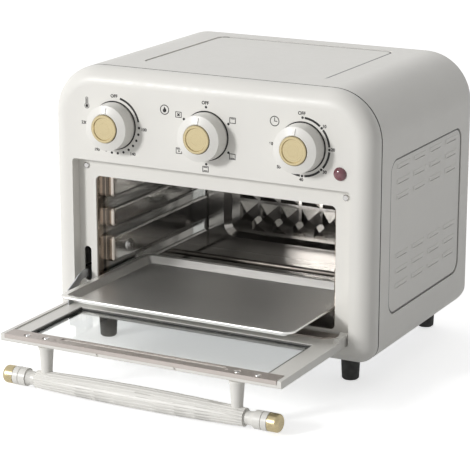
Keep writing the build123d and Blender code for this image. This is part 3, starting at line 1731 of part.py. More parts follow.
def make_end_cap(side):
    """Metal cap with a rounded end, bored for the spigot of the collar."""
    with BuildPart() as cap:
        with BuildSketch(beside(side * end_cap_start, bar_depth, bar_height)):
            Circle(end_cap_radius)
        extrude(amount=side * (end_cap_end - end_cap_start))
        end_face = cap.faces().sort_by(Axis.X)[-1 if side > 0 else 0]
        fillet(end_face.edges(), end_cap_edge)
        with BuildSketch(beside(side * end_cap_start, bar_depth, bar_height)):
            Circle(cap_spigot_radius)
        extrude(amount=side * cap_spigot_length, mode=Mode.SUBTRACT)
    return cap.part


with BuildPart() as handle_end_caps:
    for side in (-1, 1):
        add(make_end_cap(side))
handle_end_caps.part.label = "handle_end_caps"
export_step(handle_end_caps.part, "parts/handle_end_caps.step")


# Baking tray: shallow pan whose rim rests on the lowest pads
def tray_outline(height, inset, corner):
    """Rounded outline of the tray at one height, drawn in by an inset."""
    with BuildSketch(level(height, 0, tray_near + tray_length / 2)) as outline:
        RectangleRounded(2 * (tray_half_width - inset), tray_length - 2 * inset, corner)
    return outline.sketch


with BuildPart() as baking_tray:
    rim_underside = tray_top - tray_rim_thickness
    extrude(tray_outline(rim_underside, 0, tray_corner), amount=tray_rim_thickness)
    fillet(baking_tray.edges().filter_by(GeomType.LINE).group_by(Axis.Z)[0]
           + baking_tray.edges().filter_by(GeomType.CIRCLE).group_by(Axis.Z)[0], tray_rim_round)
    fillet(baking_tray.edges().group_by(Axis.Z)[-1], tray_rim_round)
    loft([
        tray_outline(rim_underside, tray_rim, tray_shoulder_corner).face(),
        tray_outline(tray_floor, tray_rim + tray_slope, tray_foot_corner).face(),
    ])
    loft([
        tray_outline(tray_top, tray_rim + tray_sheet, tray_shoulder_corner - tray_sheet).face(),
        tray_outline(tray_floor + tray_sheet, tray_rim + tray_slope + tray_sheet,
                     tray_foot_corner - tray_sheet).face(),
    ], mode=Mode.SUBTRACT)
baking_tray.part.label = "baking_tray"
export_step(baking_tray.part, "parts/baking_tray.step")
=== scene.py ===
# %% [markdown]
# A countertop air fryer oven, dressed for a photograph
# The solids come from a CAD model that is already the right size. This notebook adds what a CAD
# model leaves out: paint, brushed steel, glass, the printing round the dials, a real coil for the
# spring, and the light of a small studio. Everything is in metres.

# %% Open the imported oven
import math

import bmesh
import bpy
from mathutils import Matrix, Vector


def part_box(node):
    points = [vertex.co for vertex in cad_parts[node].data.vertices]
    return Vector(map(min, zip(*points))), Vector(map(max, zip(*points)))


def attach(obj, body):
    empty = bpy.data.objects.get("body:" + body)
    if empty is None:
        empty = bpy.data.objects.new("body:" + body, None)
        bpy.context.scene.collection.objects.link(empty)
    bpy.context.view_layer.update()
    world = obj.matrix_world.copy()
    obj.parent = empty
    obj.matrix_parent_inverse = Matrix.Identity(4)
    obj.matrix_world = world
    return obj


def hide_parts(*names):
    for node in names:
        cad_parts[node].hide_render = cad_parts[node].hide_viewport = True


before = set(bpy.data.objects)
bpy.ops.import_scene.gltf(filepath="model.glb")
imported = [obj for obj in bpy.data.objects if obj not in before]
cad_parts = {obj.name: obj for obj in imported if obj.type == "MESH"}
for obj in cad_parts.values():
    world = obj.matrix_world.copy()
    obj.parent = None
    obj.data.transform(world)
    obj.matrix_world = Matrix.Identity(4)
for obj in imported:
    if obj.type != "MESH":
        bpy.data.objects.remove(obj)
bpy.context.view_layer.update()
MM = 0.001


# %% [markdown]
# The camera
# The photograph was taken from the right of the oven and a little above it, with a long lens that
# keeps the sides almost parallel. The place and the turn below were found by fitting straight
# edges of the body to the picture, so they are plain numbers here and need no aiming.

# %% Set up the camera
CAMERA_PLACE = (0.9786, -1.84235, 0.7064)
CAMERA_LENS = 153.95
CAMERA_DOWN = 15.32
CAMERA_ROUND = 27.84
LEVEL_GAZE = 90.0
FILM_WIDTH = 36.0
NEAREST_SEEN = 0.05
FARTHEST_SEEN = 60.0

camera_data = bpy.data.cameras.new("photographer")
camera_data.lens = CAMERA_LENS
camera_data.sensor_width = FILM_WIDTH
camera_data.clip_start = NEAREST_SEEN
camera_data.clip_end = FARTHEST_SEEN
camera = bpy.data.objects.new("photographer", camera_data)
camera.location = CAMERA_PLACE
camera.rotation_euler = (
    math.radians(LEVEL_GAZE - CAMERA_DOWN), 0.0, math.radians(CAMERA_ROUND))
bpy.context.scene.collection.objects.link(camera)
bpy.context.scene.camera = camera
print("camera stands", round(Vector(CAMERA_PLACE).length, 2), "m from the oven")


# %% [markdown]
# How a finish is mixed
# Every finish starts as one Principled shader. What makes it look real is small unevenness: paint
# is a little mottled, steel carries the lines of its rolling, rubber is dusty. Those come from
# noise textures in the object's own coordinates, so they stay with the piece when it moves.
# A noise that is squeezed in two directions and stretched in the third gives brushed lines.

# %% Tools for mixing finishes
bpy.context.scene.view_settings.view_transform = "Standard"
NOISE_LOW = 0.3
NOISE_HIGH = 0.7


def new_finish(name, colour, roughness, metallic=0.0):
    """A material with one Principled shader; gives the material and the shader."""
    finish = bpy.data.materials.new(name)
    finish.use_nodes = True
    shader = finish.node_tree.nodes["Principled BSDF"]
    shader.inputs["Base Color"].default_value = (*colour, 1.0)
    shader.inputs["Roughness"].default_value = roughness
    shader.inputs["Metallic"].default_value = metallic
    return finish, shader


def feed(owner, socket, value):
    """Links a signal to a socket, or sets the socket to a plain value."""
    if isinstance(value, bpy.types.NodeSocket):
        owner.node_tree.links.new(value, socket)
    else:
        socket.default_value = value


def add_node(owner, kind, **inputs):
    """Adds a node to a finish or to the sky, and feeds the inputs that are named."""
    node = owner.node_tree.nodes.new("ShaderNode" + kind)
    for name, value in inputs.items():
        feed(owner, node.inputs[name.replace("_", " ")], value)
    return node


def maths(owner, operation, *values, kind="Math"):
    """A step of arithmetic on numbers, or on vectors where the kind is VectorMath."""
    step = add_node(owner, kind)
    step.operation = operation
    for socket, value in zip(step.inputs, values):
        feed(owner, socket, value)
    return step


def number(owner, operation, *values):
    """The result of one step of arithmetic on signals or plain numbers."""
    return maths(owner, operation, *values).outputs["Value"]


def grain(finish, scale, detail=4.0, stretch=(1.0, 1.0, 1.0)):
    """Noise in the piece's own coordinates, from 0 to 1."""
    place = add_node(finish, "TexCoord")
    stretched = add_node(finish, "Mapping", Vector=place.outputs["Object"], Scale=stretch)
    noise = add_node(finish, "TexNoise", Vector=stretched.outputs["Vector"], Scale=scale, Detail=detail)
    return noise.outputs["Fac"]


def spread(finish, signal, low, high):
    """Turns a 0 to 1 signal into a value between low and high, with the middle stretched out."""
    ranged = add_node(finish, "MapRange", Value=signal, From_Min=NOISE_LOW, From_Max=NOISE_HIGH,
                      To_Min=low, To_Max=high)
    return ranged.outputs["Result"]


def blend_colours(finish, shader, share, first, second):
    """Base colour that goes from the first to the second; each is a signal or a plain colour."""
    mix = finish.node_tree.nodes.new("ShaderNodeMix")
    mix.data_type = "RGBA"
    feed(finish, mix.inputs["Factor"], share)
    colours = [socket for socket in mix.inputs if socket.type == "RGBA"]
    for socket, value in zip(colours, (first, second)):
        feed(finish, socket, value if isinstance(value, bpy.types.NodeSocket) else (*value, 1.0))
    result = next(socket for socket in mix.outputs if socket.type == "RGBA")
    feed(finish, shader.inputs["Base Color"], result)


def shade(colour, factor):
    """The same colour, lighter or darker."""
    return tuple(min(1.0, part * factor) for part in colour)


def tint(finish, shader, signal, colour, darkest, lightest):
    """Lets a colour wander between two shades of itself."""
    share = spread(finish, signal, 0.0, 1.0)
    blend_colours(finish, shader, share, shade(colour, darkest), shade(colour, lightest))


def gloss(finish, shader, signal, low, high):
    """Lets the roughness wander between two values."""
    feed(finish, shader.inputs["Roughness"], spread(finish, signal, low, high))


def relief(finish, shader, signal, depth, strength=0.5):
    """Gives the surface a fine relief of a depth in metres."""
    bump = add_node(finish, "Bump", Height=signal, Strength=strength, Distance=depth)
    feed(finish, shader.inputs["Normal"], bump.outputs["Normal"])


print("noise, tint, gloss and relief are ready")


# %% [markdown]
# Cream paint and cream plastic
# The body is powder coated steel in a warm off-white, with a satin shine. Powder coat has an
# orange peel: soft swellings a millimetre or two across, a few hundredths deep. The moulded
# knobs and the handle are the same colour but smoother, with a slightly sharper shine.

# %% Mix the creams
CREAM = (0.760, 0.745, 0.705)
finishes = {}

finish, shader = new_finish("cream_powder_coat", CREAM, roughness=0.4)
tint(finish, shader, grain(finish, scale=14.0, detail=3.0), CREAM, darkest=0.985, lightest=1.015)
gloss(finish, shader, grain(finish, scale=160.0, detail=2.0), low=0.36, high=0.46)
relief(finish, shader, grain(finish, scale=620.0, detail=1.0), depth=0.02 * MM, strength=0.35)
finishes["cream_paint"] = finish

CREAM_MOULDED = shade(CREAM, 1.01)
finish, shader = new_finish("cream_moulded", CREAM_MOULDED, roughness=0.36)
tint(finish, shader, grain(finish, scale=30.0, detail=2.0),
     CREAM_MOULDED, darkest=0.985, lightest=1.01)
gloss(finish, shader, grain(finish, scale=240.0, detail=2.0), low=0.3, high=0.42)
relief(finish, shader, grain(finish, scale=1500.0, detail=1.0), depth=0.01 * MM, strength=0.3)
finishes["cream_plastic"] = finish
print("creams mixed from", CREAM)


# %% [markdown]
# Steels
# Sheet steel is rolled, and its surface keeps fine lines in the direction of rolling. A noise
# squeezed across the lines gives both the streaks of shine and their relief. The oven chamber
# is bare steel that reflects itself, the tray is polished brighter, the strips on the door are a
# little brown, and the heating rods are dark from heat.

# %% Mix the steels
def brushed_steel(name, colour, smooth, rough, stretch, scale=60.0, vary=0.06, depth=0.006 * MM):
    """Rolled or brushed sheet: streaks along the axis with the small stretch."""
    finish, shader = new_finish(name, colour, roughness=(smooth + rough) / 2, metallic=1.0)
    streaks = grain(finish, scale, detail=5.0, stretch=stretch)
    cloud = grain(finish, scale=9.0, detail=2.0)
    tint(finish, shader, cloud, colour, darkest=1.0 - vary, lightest=1.0 + vary)
    gloss(finish, shader, streaks, smooth, rough)
    relief(finish, shader, streaks, depth, strength=0.6)
    return finish


SQUEEZED = 14.0
STRETCHED = 0.6
ALONG_WIDTH = (STRETCHED, SQUEEZED, SQUEEZED)
ALONG_DEPTH = (SQUEEZED, STRETCHED, SQUEEZED)
ALONG_HEIGHT = (SQUEEZED, SQUEEZED, STRETCHED)
NO_LINES = (1.0, 1.0, 1.0)
CHAMBER_STEEL = (0.86, 0.865, 0.85)
finishes["chamber_steel"] = brushed_steel(
    "rolled_chamber_steel", CHAMBER_STEEL, smooth=0.11, rough=0.19, stretch=ALONG_DEPTH,
    scale=90.0, vary=0.03, depth=0.0012 * MM)
finishes["tray_steel"] = brushed_steel(
    "polished_tray_steel", (0.90, 0.89, 0.87), smooth=0.34, rough=0.44, stretch=ALONG_WIDTH,
    vary=0.02, depth=0.002 * MM)
finishes["trim_steel"] = brushed_steel(
    "brown_trim_steel", (0.50, 0.455, 0.425), smooth=0.42, rough=0.55, stretch=ALONG_WIDTH)
finishes["zinc_steel"] = brushed_steel(
    "zinc_plate", (0.58, 0.59, 0.60), smooth=0.34, rough=0.5, stretch=ALONG_DEPTH, scale=30.0, vary=0.1)
finishes["screw_steel"] = brushed_steel(
    "plated_screw", (0.62, 0.61, 0.60), smooth=0.22, rough=0.34, stretch=NO_LINES, scale=900.0)
finishes["element_steel"] = brushed_steel(
    "heat_dark_rod", (0.16, 0.145, 0.13), smooth=0.38, rough=0.55, stretch=ALONG_WIDTH, scale=80.0, vary=0.25)
finishes["fan_aluminium"] = brushed_steel(
    "pressed_aluminium", (0.74, 0.74, 0.74), smooth=0.3, rough=0.45, stretch=ALONG_HEIGHT)
print("steels mixed for", sorted(name for name in finishes if "steel" in name))


# %% [markdown]
# Heat stain and painted shade
# Steel by the door of a used oven turns a little brown. The colour follows the depth of a point in
# the chamber, in millimetres from the front edge of the side walls: a brown stain on the front
# strip, painted shade in the gap behind it, a lighter brown stain on the nose of the shelf ribs,
# then clean, and painted shade that makes the pressed back wall darker than the side walls.

# %% Stain and shade the chamber
# The gap colour and the back colour are painted shade; the front and the pad colours are stain.
STAIN_FRONT = (0.42, 0.35, 0.29)
GAP_SHADE = (0.17, 0.155, 0.14)
STAIN_PAD = (0.60, 0.54, 0.48)
BACK_SHADE = (0.44, 0.42, 0.40)
STRIP_END = 9.65
GAP_START = 10.15
GAP_END = 15.65
PAD_START = 16.25
PAD_CLEAN = 26.55
SIDE_END = 226.55
BACK_START = 232.05
HALFWAY = 0.5
stain_and_shade_steps = ((0.0, STAIN_FRONT), (STRIP_END, STAIN_FRONT), (GAP_START, GAP_SHADE), (GAP_END, GAP_SHADE),
               (PAD_START, STAIN_PAD), (PAD_CLEAN, CHAMBER_STEEL), (SIDE_END, CHAMBER_STEEL),
               (BACK_START, BACK_SHADE))
finish = finishes["chamber_steel"]
shader = finish.node_tree.nodes["Principled BSDF"]
wall_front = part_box("cavity_left_wall")[0].y
place = add_node(finish, "TexCoord")
apart = add_node(finish, "SeparateXYZ", Vector=place.outputs["Object"])
depth_range = add_node(finish, "MapRange", Value=apart.outputs["Y"], From_Min=wall_front,
                       From_Max=wall_front + BACK_START * MM)
ramp = add_node(finish, "ValToRGB", Fac=depth_range.outputs["Result"])
stops = ramp.color_ramp.elements
while len(stops) < len(stain_and_shade_steps):
    stops.new(HALFWAY)
for stop, (depth, colour) in zip(stops, stain_and_shade_steps):
    stop.position = depth / BACK_START
    stop.color = (*colour, 1.0)
brightness = spread(finish, grain(finish, scale=11.0, detail=3.0), low=0.95, high=1.05)
blotch = add_node(finish, "HueSaturation", Color=ramp.outputs["Color"], Value=brightness)
feed(finish, shader.inputs["Base Color"], blotch.outputs["Color"])
print("stain runs over", BACK_START, "mm of depth")


# %% [markdown]
# Gold caps
# The caps on the knobs and the handle are turned from brass-coloured metal. A lathe leaves rings
# round the axis, so the noise here runs on the distance from the middle of each cap. Generated
# coordinates go from 0 to 1 across a piece, whose middle is then at one half.

# %% Turn the gold
GOLD = (0.54, 0.455, 0.275)
CAP_MIDDLE = (0.5, 0.5, 0.5)
WITHOUT_DEPTH = (1.0, 0.0, 1.0)
RING_SCALE = 70.0
finish, shader = new_finish("turned_gold", GOLD, roughness=0.3, metallic=1.0)
place = add_node(finish, "TexCoord")
from_middle = maths(finish, "SUBTRACT", place.outputs["Generated"], CAP_MIDDLE, kind="VectorMath")
flat = add_node(finish, "Mapping", Vector=from_middle.outputs["Vector"], Scale=WITHOUT_DEPTH)
reach = maths(finish, "LENGTH", flat.outputs["Vector"], kind="VectorMath")
rings = add_node(finish, "TexNoise", Scale=RING_SCALE, Detail=3.0)
rings.noise_dimensions = "1D"
feed(finish, rings.inputs["W"], reach.outputs["Value"])
tint(finish, shader, rings.outputs["Fac"], GOLD, darkest=0.95, lightest=1.05)
gloss(finish, shader, rings.outputs["Fac"], low=0.26, high=0.40)
relief(finish, shader, rings.outputs["Fac"], depth=0.012 * MM, strength=0.6)
finishes["gold_metal"] = finish
print("gold rings run on the distance from each cap's middle")


# %% [markdown]
# Glass, rubber and the small parts
# The door pane is clear tempered glass. The feet and the window gasket are matt black rubber with
# a little dust, the pilot lamp is a dark plum dome, and the motor and the ceramic ends of the
# heating rods sit out of sight, but each still gets its own finish.

# %% Mix glass, rubber and the rest
finish, shader = new_finish("tempered_glass", (0.93, 0.95, 0.94), roughness=0.02)
shader.inputs["Transmission Weight"].default_value = 1.0
shader.inputs["IOR"].default_value = 1.5
gloss(finish, shader, grain(finish, scale=12.0, detail=3.0), low=0.01, high=0.04)
finishes["door_glass"] = finish

RUBBER = (0.022, 0.022, 0.021)
finish, shader = new_finish("dusty_rubber", RUBBER, roughness=0.7)
tint(finish, shader, grain(finish, scale=90.0, detail=4.0), RUBBER, darkest=1.0, lightest=2.2)
gloss(finish, shader, grain(finish, scale=200.0, detail=3.0), low=0.55, high=0.8)
relief(finish, shader, grain(finish, scale=1400.0, detail=2.0), depth=0.02 * MM)
finishes["black_rubber"] = finish

finish, shader = new_finish("moulded_black", (0.035, 0.035, 0.035), roughness=0.5)
gloss(finish, shader, grain(finish, scale=300.0, detail=3.0), low=0.42, high=0.6)
relief(finish, shader, grain(finish, scale=1200.0, detail=2.0), depth=0.02 * MM)
finishes["black_plastic"] = finish

PLUM = (0.145, 0.048, 0.060)
finish, shader = new_finish("plum_lens", PLUM, roughness=0.12)
tint(finish, shader, grain(finish, scale=120.0, detail=2.0), PLUM, darkest=1.0, lightest=1.4)
gloss(finish, shader, grain(finish, scale=60.0, detail=2.0), low=0.08, high=0.16)
shader.inputs["Coat Weight"].default_value = 0.6
finishes["lamp_lens"] = finish

finish, shader = new_finish("neon_bulb", (0.85, 0.5, 0.4), roughness=0.08)
shader.inputs["Transmission Weight"].default_value = 0.7
gloss(finish, shader, grain(finish, scale=200.0, detail=2.0), low=0.05, high=0.15)
finishes["lamp_bulb"] = finish

CERAMIC = (0.78, 0.75, 0.68)
finish, shader = new_finish("bare_ceramic", CERAMIC, roughness=0.7)
tint(finish, shader, grain(finish, scale=220.0, detail=4.0), CERAMIC, darkest=0.88, lightest=1.06)
relief(finish, shader, grain(finish, scale=1600.0, detail=2.0), depth=0.03 * MM)
finishes["white_ceramic"] = finish

ENAMEL = (0.09, 0.09, 0.095)
finish, shader = new_finish("motor_enamel", ENAMEL, roughness=0.45)
tint(finish, shader, grain(finish, scale=60.0, detail=3.0), ENAMEL, darkest=0.8, lightest=1.3)
relief(finish, shader, grain(finish, scale=900.0, detail=2.0), depth=0.02 * MM)
finishes["motor_steel"] = finish

INK = (0.009, 0.008, 0.008)
ink, shader = new_finish("printed_ink", INK, roughness=0.55)
tint(ink, shader, grain(ink, scale=700.0, detail=3.0), INK, darkest=0.8, lightest=1.3)
gloss(ink, shader, grain(ink, scale=400.0, detail=2.0), low=0.55, high=0.75)
print(len(finishes), "finishes for the solids, and one ink")


# %% [markdown]
# Painted shade in the seam and the grooves
# Three places are painted dark as the shade that falls in them: the cut edge of the wrap behind
# the front frame, the lip that it slides over, and the narrow grooves round the sunk panels. A
# mask finds each of them by its place. For the first two it is 1 between two limits of depth. A
# groove follows a rectangle with round corners. Its mask measures the distance from an inner
# rectangle, smaller by the corner radius on every side, and is 1 where that distance nears the
# radius. On the top the limits are set outward at the left and inward at the right, because only
# the right side of that groove lies in shade and looks dark.

# %% Find the places of painted shade
# Colour of the painted shade in the seam and the grooves.
PAINTED_SHADE = (0.10, 0.098, 0.092)
SHADE_MARGIN = 0.05 * MM
PANEL_LINE = 2.1 * MM
LIP_DEPTH = 8.0 * MM
PAST_EDGE = 8.0 * MM
GROOVE_TOP = 0.4 * MM
GROOVE_BOTTOM = 3.0 * MM
frame_low, frame_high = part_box("front_frame")
wrap_low, wrap_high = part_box("body_wrap")
SIDE_PANEL_DEPTHS = (frame_low.y + 45.5 * MM, frame_low.y + 237.9 * MM)
SIDE_PANEL_HEIGHTS = (72.9 * MM, 238.7 * MM)
SIDE_PANEL_CORNER = 15.0 * MM
TOP_PANEL_DEPTHS = (frame_low.y + 55.0 * MM, frame_low.y + 239.0 * MM)
TOP_PANEL_SIDES = (-113.0 * MM, 107.7 * MM)
TOP_PANEL_CORNER = 11.0 * MM


def within(finish, signal, low, high):
    """1 where the signal lies between two limits, otherwise 0."""
    over = number(finish, "GREATER_THAN", signal, low)
    under = number(finish, "LESS_THAN", signal, high)
    return number(finish, "MULTIPLY", over, under)


def darken(name, find_mask):
    """Copy of the cream paint with painted shade where its mask is 1."""
    finish = finishes["cream_paint"].copy()
    finish.name = name
    shader = finish.node_tree.nodes["Principled BSDF"]
    painted = shader.inputs["Base Color"].links[0].from_socket
    place = add_node(finish, "TexCoord")
    apart = add_node(finish, "SeparateXYZ", Vector=place.outputs["Object"])
    mask = find_mask(finish, apart.outputs["X"], apart.outputs["Y"], apart.outputs["Z"])
    blend_colours(finish, shader, mask, painted, PAINTED_SHADE)
    return finish


def lip_mask(finish, across, depth, height):
    """The painted shade on the lip, which is the rearmost part of the front frame."""
    return within(finish, depth, frame_high.y - LIP_DEPTH + SHADE_MARGIN, frame_high.y + PAST_EDGE)


def beyond(finish, signal, low, high, corner):
    """How far a signal lies past the inner rectangle, on one axis."""
    from_middle = number(finish, "SUBTRACT", signal, (low + high) / 2)
    distance = number(finish, "ABSOLUTE", from_middle)
    return number(finish, "SUBTRACT", distance, (high - low) / 2 - corner)


def panel_line(finish, first, first_limits, second, second_limits, corner):
    """1 in a narrow band just inside a rectangle with round corners."""
    one = beyond(finish, first, *first_limits, corner)
    two = beyond(finish, second, *second_limits, corner)
    out_one = number(finish, "MAXIMUM", one, 0.0)
    out_two = number(finish, "MAXIMUM", two, 0.0)
    squares = number(finish, "ADD", number(finish, "MULTIPLY", out_one, out_one),
                     number(finish, "MULTIPLY", out_two, out_two))
    outside = number(finish, "SQRT", squares)
    inside = number(finish, "MINIMUM", number(finish, "MAXIMUM", one, two), 0.0)
    distance = number(finish, "ADD", outside, inside)
    return within(finish, distance, corner - PANEL_LINE, corner - SHADE_MARGIN)


def wrap_mask(finish, across, depth, height):
    """Painted shade on the front edge of the wrap, and in the grooves round the side and top panels."""
    edge = within(finish, depth, wrap_low.y - PAST_EDGE, wrap_low.y + SHADE_MARGIN)
    outward = number(finish, "ABSOLUTE", across)
    on_side = within(finish, outward, wrap_high.x - GROOVE_BOTTOM, wrap_high.x - GROOVE_TOP)
    side = number(finish, "MULTIPLY", on_side, panel_line(
        finish, depth, SIDE_PANEL_DEPTHS, height, SIDE_PANEL_HEIGHTS, SIDE_PANEL_CORNER))
    on_top = within(finish, height, wrap_high.z - GROOVE_BOTTOM, wrap_high.z - GROOVE_TOP)
    top = number(finish, "MULTIPLY", on_top, panel_line(
        finish, across, TOP_PANEL_SIDES, depth, TOP_PANEL_DEPTHS, TOP_PANEL_CORNER))
    return number(finish, "MAXIMUM", edge, number(finish, "MAXIMUM", side, top))


# The frame and the wrap each get their painted shade.
frame_finish = darken("cream_frame", lip_mask)
wrap_finish = darken("cream_wrap", wrap_mask)
print("dark lip of", LIP_DEPTH / MM, "mm, and dark lines of", round(PANEL_LINE / MM, 1), "mm in the grooves")


# %% [markdown]
# Dressing the solids
# Each solid came with the name of its finish, so one loop hands them all out. Four pieces then
# get a finish of their own: the frame and the wrap with their lines of painted shade, the cavity
# floor, rougher and darkened with painted shade, and the grey seal round the pane.

# %% Dress every solid
# The darker colour of the cavity floor is painted shade on the floor of the chamber.
SHADED_FLOOR_STEEL = (0.27, 0.26, 0.245)
GREY_RUBBER = (0.13, 0.13, 0.125)
shaded_floor_finish = brushed_steel(
    "shaded_floor_steel", SHADED_FLOOR_STEEL, smooth=0.34, rough=0.46, stretch=ALONG_WIDTH,
    scale=70.0, vary=0.08, depth=0.002 * MM)
gasket_finish, shader = new_finish("grey_rubber", GREY_RUBBER, roughness=0.6)
tint(gasket_finish, shader, grain(gasket_finish, scale=120.0, detail=3.0),
     GREY_RUBBER, darkest=0.85, lightest=1.15)
gloss(gasket_finish, shader, grain(gasket_finish, scale=300.0, detail=2.0), low=0.5, high=0.7)
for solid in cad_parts.values():
    for holder in solid.material_slots:
        holder.material = finishes[holder.material.name.split(".")[0]]
own_finishes = {"front_frame": frame_finish, "body_wrap": wrap_finish,
                "cavity_floor": shaded_floor_finish, "door_gasket": gasket_finish}
for name, finish in own_finishes.items():
    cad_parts[name].material_slots[0].material = finish
print("dressed", len(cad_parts), "solids")


# %% [markdown]
# Printing round the dials
# The front is screen printed: dots and short arcs for the settings, numbers, and small pictures
# for the functions. Ink is a thin flat layer, so each mark is a flat outline with a thickness of
# a few hundredths of a millimetre, laid on the front face. All marks of one dial are one piece.

# %% Helpers for flat print
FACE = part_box("front_frame")[0].y
INK_THICKNESS = 0.05 * MM
INK_LIFT = 0.01 * MM
LETTER_WEIGHT = 0.034
ARC_STEP = 5
FEWEST_STEPS = 3
DOT_CORNERS = 20
TURN = 2 * math.pi


class Print:
    """Collects flat outlines on the front face, in millimetres across and up."""

    def __init__(self):
        self.mesh = bmesh.new()

    def outline(self, points):
        """A flat shape with the thickness of the ink."""
        near, far = FACE - INK_LIFT - INK_THICKNESS, FACE - INK_LIFT
        front = [self.mesh.verts.new((x * MM, near, z * MM)) for x, z in points]
        back = [self.mesh.verts.new((x * MM, far, z * MM)) for x, z in points]
        self.mesh.faces.new(front)
        self.mesh.faces.new(list(reversed(back)))
        count = len(points)
        for step in range(count):
            after = (step + 1) % count
            self.mesh.faces.new((front[after], front[step], back[step], back[after]))

    def dot(self, x, z, diameter, corners=DOT_CORNERS):
        """A filled round."""
        angles = [TURN * step / corners for step in range(corners)]
        self.outline([(x + diameter / 2 * math.cos(a), z + diameter / 2 * math.sin(a)) for a in angles])

    def arc(self, x, z, radius, width, start, end):
        """A band round a centre; angles run clockwise from the top, in degrees."""
        steps = max(FEWEST_STEPS, int(abs(end - start) / ARC_STEP))
        angles = [math.radians(start + (end - start) * step / steps) for step in range(steps + 1)]
        sides = [[(x + reach * math.sin(a), z + reach * math.cos(a)) for a in angles]
                 for reach in (radius + width / 2, radius - width / 2)]
        self.outline(sides[0] + sides[1][::-1])

    def ring(self, x, z, diameter, width):
        """A closed circle line, as two half bands."""
        for start in (0, 180):
            self.arc(x, z, (diameter - width) / 2, width, start, start + 180)

    def line(self, x0, z0, x1, z1, width):
        """A straight stroke."""
        along = Vector((x1 - x0, z1 - z0)).normalized() * (width / 2)
        side = Vector((-along.y, along.x))
        ends = [Vector((x0, z0)) - along, Vector((x1, z1)) + along]
        self.outline([ends[0] + side, ends[1] + side, ends[1] - side, ends[0] - side])

    def frame_box(self, x, z, width, height, line):
        """A hollow rectangle."""
        w, h = width / 2 - line / 2, height / 2 - line / 2
        for sign in (-1, 1):
            self.line(x - w, z + sign * h, x + w, z + sign * h, line)
            self.line(x + sign * w, z - h, x + sign * w, z + h, line)

    def text(self, words, x, z, height):
        """Plain figures or letters, centred on a point."""
        curve = bpy.data.curves.new("figures", "FONT")
        curve.body = words
        curve.align_x = "CENTER"
        curve.align_y = "CENTER"
        curve.size = 1.0
        curve.offset = LETTER_WEIGHT
        holder = bpy.data.objects.new("figures", curve)
        bpy.context.scene.collection.objects.link(holder)
        bpy.context.view_layer.update()
        shown = holder.evaluated_get(bpy.context.evaluated_depsgraph_get())
        made = bpy.data.meshes.new_from_object(shown)
        bpy.data.objects.remove(holder)
        ups = [v.co.y for v in made.vertices]
        sideways = [v.co.x for v in made.vertices]
        low, high, left, right = min(ups), max(ups), min(sideways), max(sideways)
        size = height / (high - low)
        flat = bmesh.new()
        flat.from_mesh(made)
        bpy.data.meshes.remove(made)
        risen = bmesh.ops.extrude_face_region(flat, geom=list(flat.faces))
        for v in (g for g in risen["geom"] if isinstance(g, bmesh.types.BMVert)):
            v.co.z += 1.0
        for v in flat.verts:
            across = x + (v.co.x - (left + right) / 2) * size
            up = z + (v.co.y - (low + high) / 2) * size
            v.co = Vector((across * MM, FACE - INK_LIFT - INK_THICKNESS * v.co.z, up * MM))
        copied = bpy.data.meshes.new("figures")
        flat.to_mesh(copied)
        flat.free()
        self.mesh.from_mesh(copied)
        bpy.data.meshes.remove(copied)

    def finish(self, name):
        """Makes the piece, which belongs to the housing."""
        bmesh.ops.recalc_face_normals(self.mesh, faces=self.mesh.faces)
        data = bpy.data.meshes.new(name)
        self.mesh.to_mesh(data)
        self.mesh.free()
        piece = bpy.data.objects.new(name, data)
        bpy.context.scene.collection.objects.link(piece)
        data.materials.append(ink)
        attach(piece, "housing")
        return piece


print("front face lies at", round(FACE / MM, 2), "mm")


# %% [markdown]
# What the three dials share
# Every dial has a dark ring round the knob and its marks on a larger ring. Places on the front
# are millimetres across and up from the middle of the knob, which comes from the knob's own box.
# Turns run clockwise from the top, as on a clock.

# %% Start a dial
DIAL_RING = 30.3
OFF_LETTERS = 3.7
FIGURES = 3.5
SCALE_DOT = 2.8
SCALE_BAND = 2.3
BEZEL_OUTER = 26.4
BEZEL_WIDTH = 1.5
ROUND_SIGN = 10.8
ROUND_SIGN_LINE = 0.9


def start_dial(name):
    """A print with the dark ring round a knob, and the middle of that knob."""
    low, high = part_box(name)
    x, z = (low.x + high.x) / 2 / MM, (low.z + high.z) / 2 / MM
    marks = Print()
    marks.ring(x, z, 2 * BEZEL_OUTER, BEZEL_WIDTH)
    return marks, x, z


def ring_dot(marks, x, z, turn):
    """A dot on the dial ring."""
    angle = math.radians(turn)
    marks.dot(x + DIAL_RING * math.sin(angle), z + DIAL_RING * math.cos(angle), SCALE_DOT)


def figures(marks, x, z, places):
    """Figures at their places round a dial."""
    for words, (across, up) in places.items():
        marks.text(words, x + across, z + up, FIGURES)


print("dial marks lie on a ring of", DIAL_RING, "mm")


# %% [markdown]
# The marks of the temperature dial
# Fourteen dots lie on the lower half of the ring, and a band for low heat on the upper right.
# Four figures give the heat, and a small thermometer stands beside the dial.

# %% Temperature scale
TEMPERATURE_STEPS = 14
FIRST_STEP = 90.0
STEP_RANGE = 180.0
WARMING_BAND = (14, 78)
TEMPERATURE_FIGURES = {"100": (36.7, -1.2), "140": (22.6, -28.9),
                       "190": (-21.8, -28.5), "230": (-37.6, -0.4)}
TEMPERATURE_OFF = (0.1, 31.6)
THERMOMETER = (-33.9, 21.5)
BULB_BELOW = 3.4
BULB_WIDTH = 3.4
BULB_RING = 2.7
BULB_MOUTH = 28
COLUMN_LOW = -3.0
COLUMN_HIGH = 4.2
COLUMN_WIDTH = 0.9
TUBE_LOW = -1.0
TUBE_HIGH = 4.6
TUBE_REACH = 1.3
TUBE_LINE = 0.6
temperature_print, x0, z0 = start_dial("temperature_knob")
temperature_print.arc(x0, z0, DIAL_RING, SCALE_BAND, *WARMING_BAND)
for step in range(TEMPERATURE_STEPS):
    ring_dot(temperature_print, x0, z0, FIRST_STEP + step * STEP_RANGE / (TEMPERATURE_STEPS - 1))
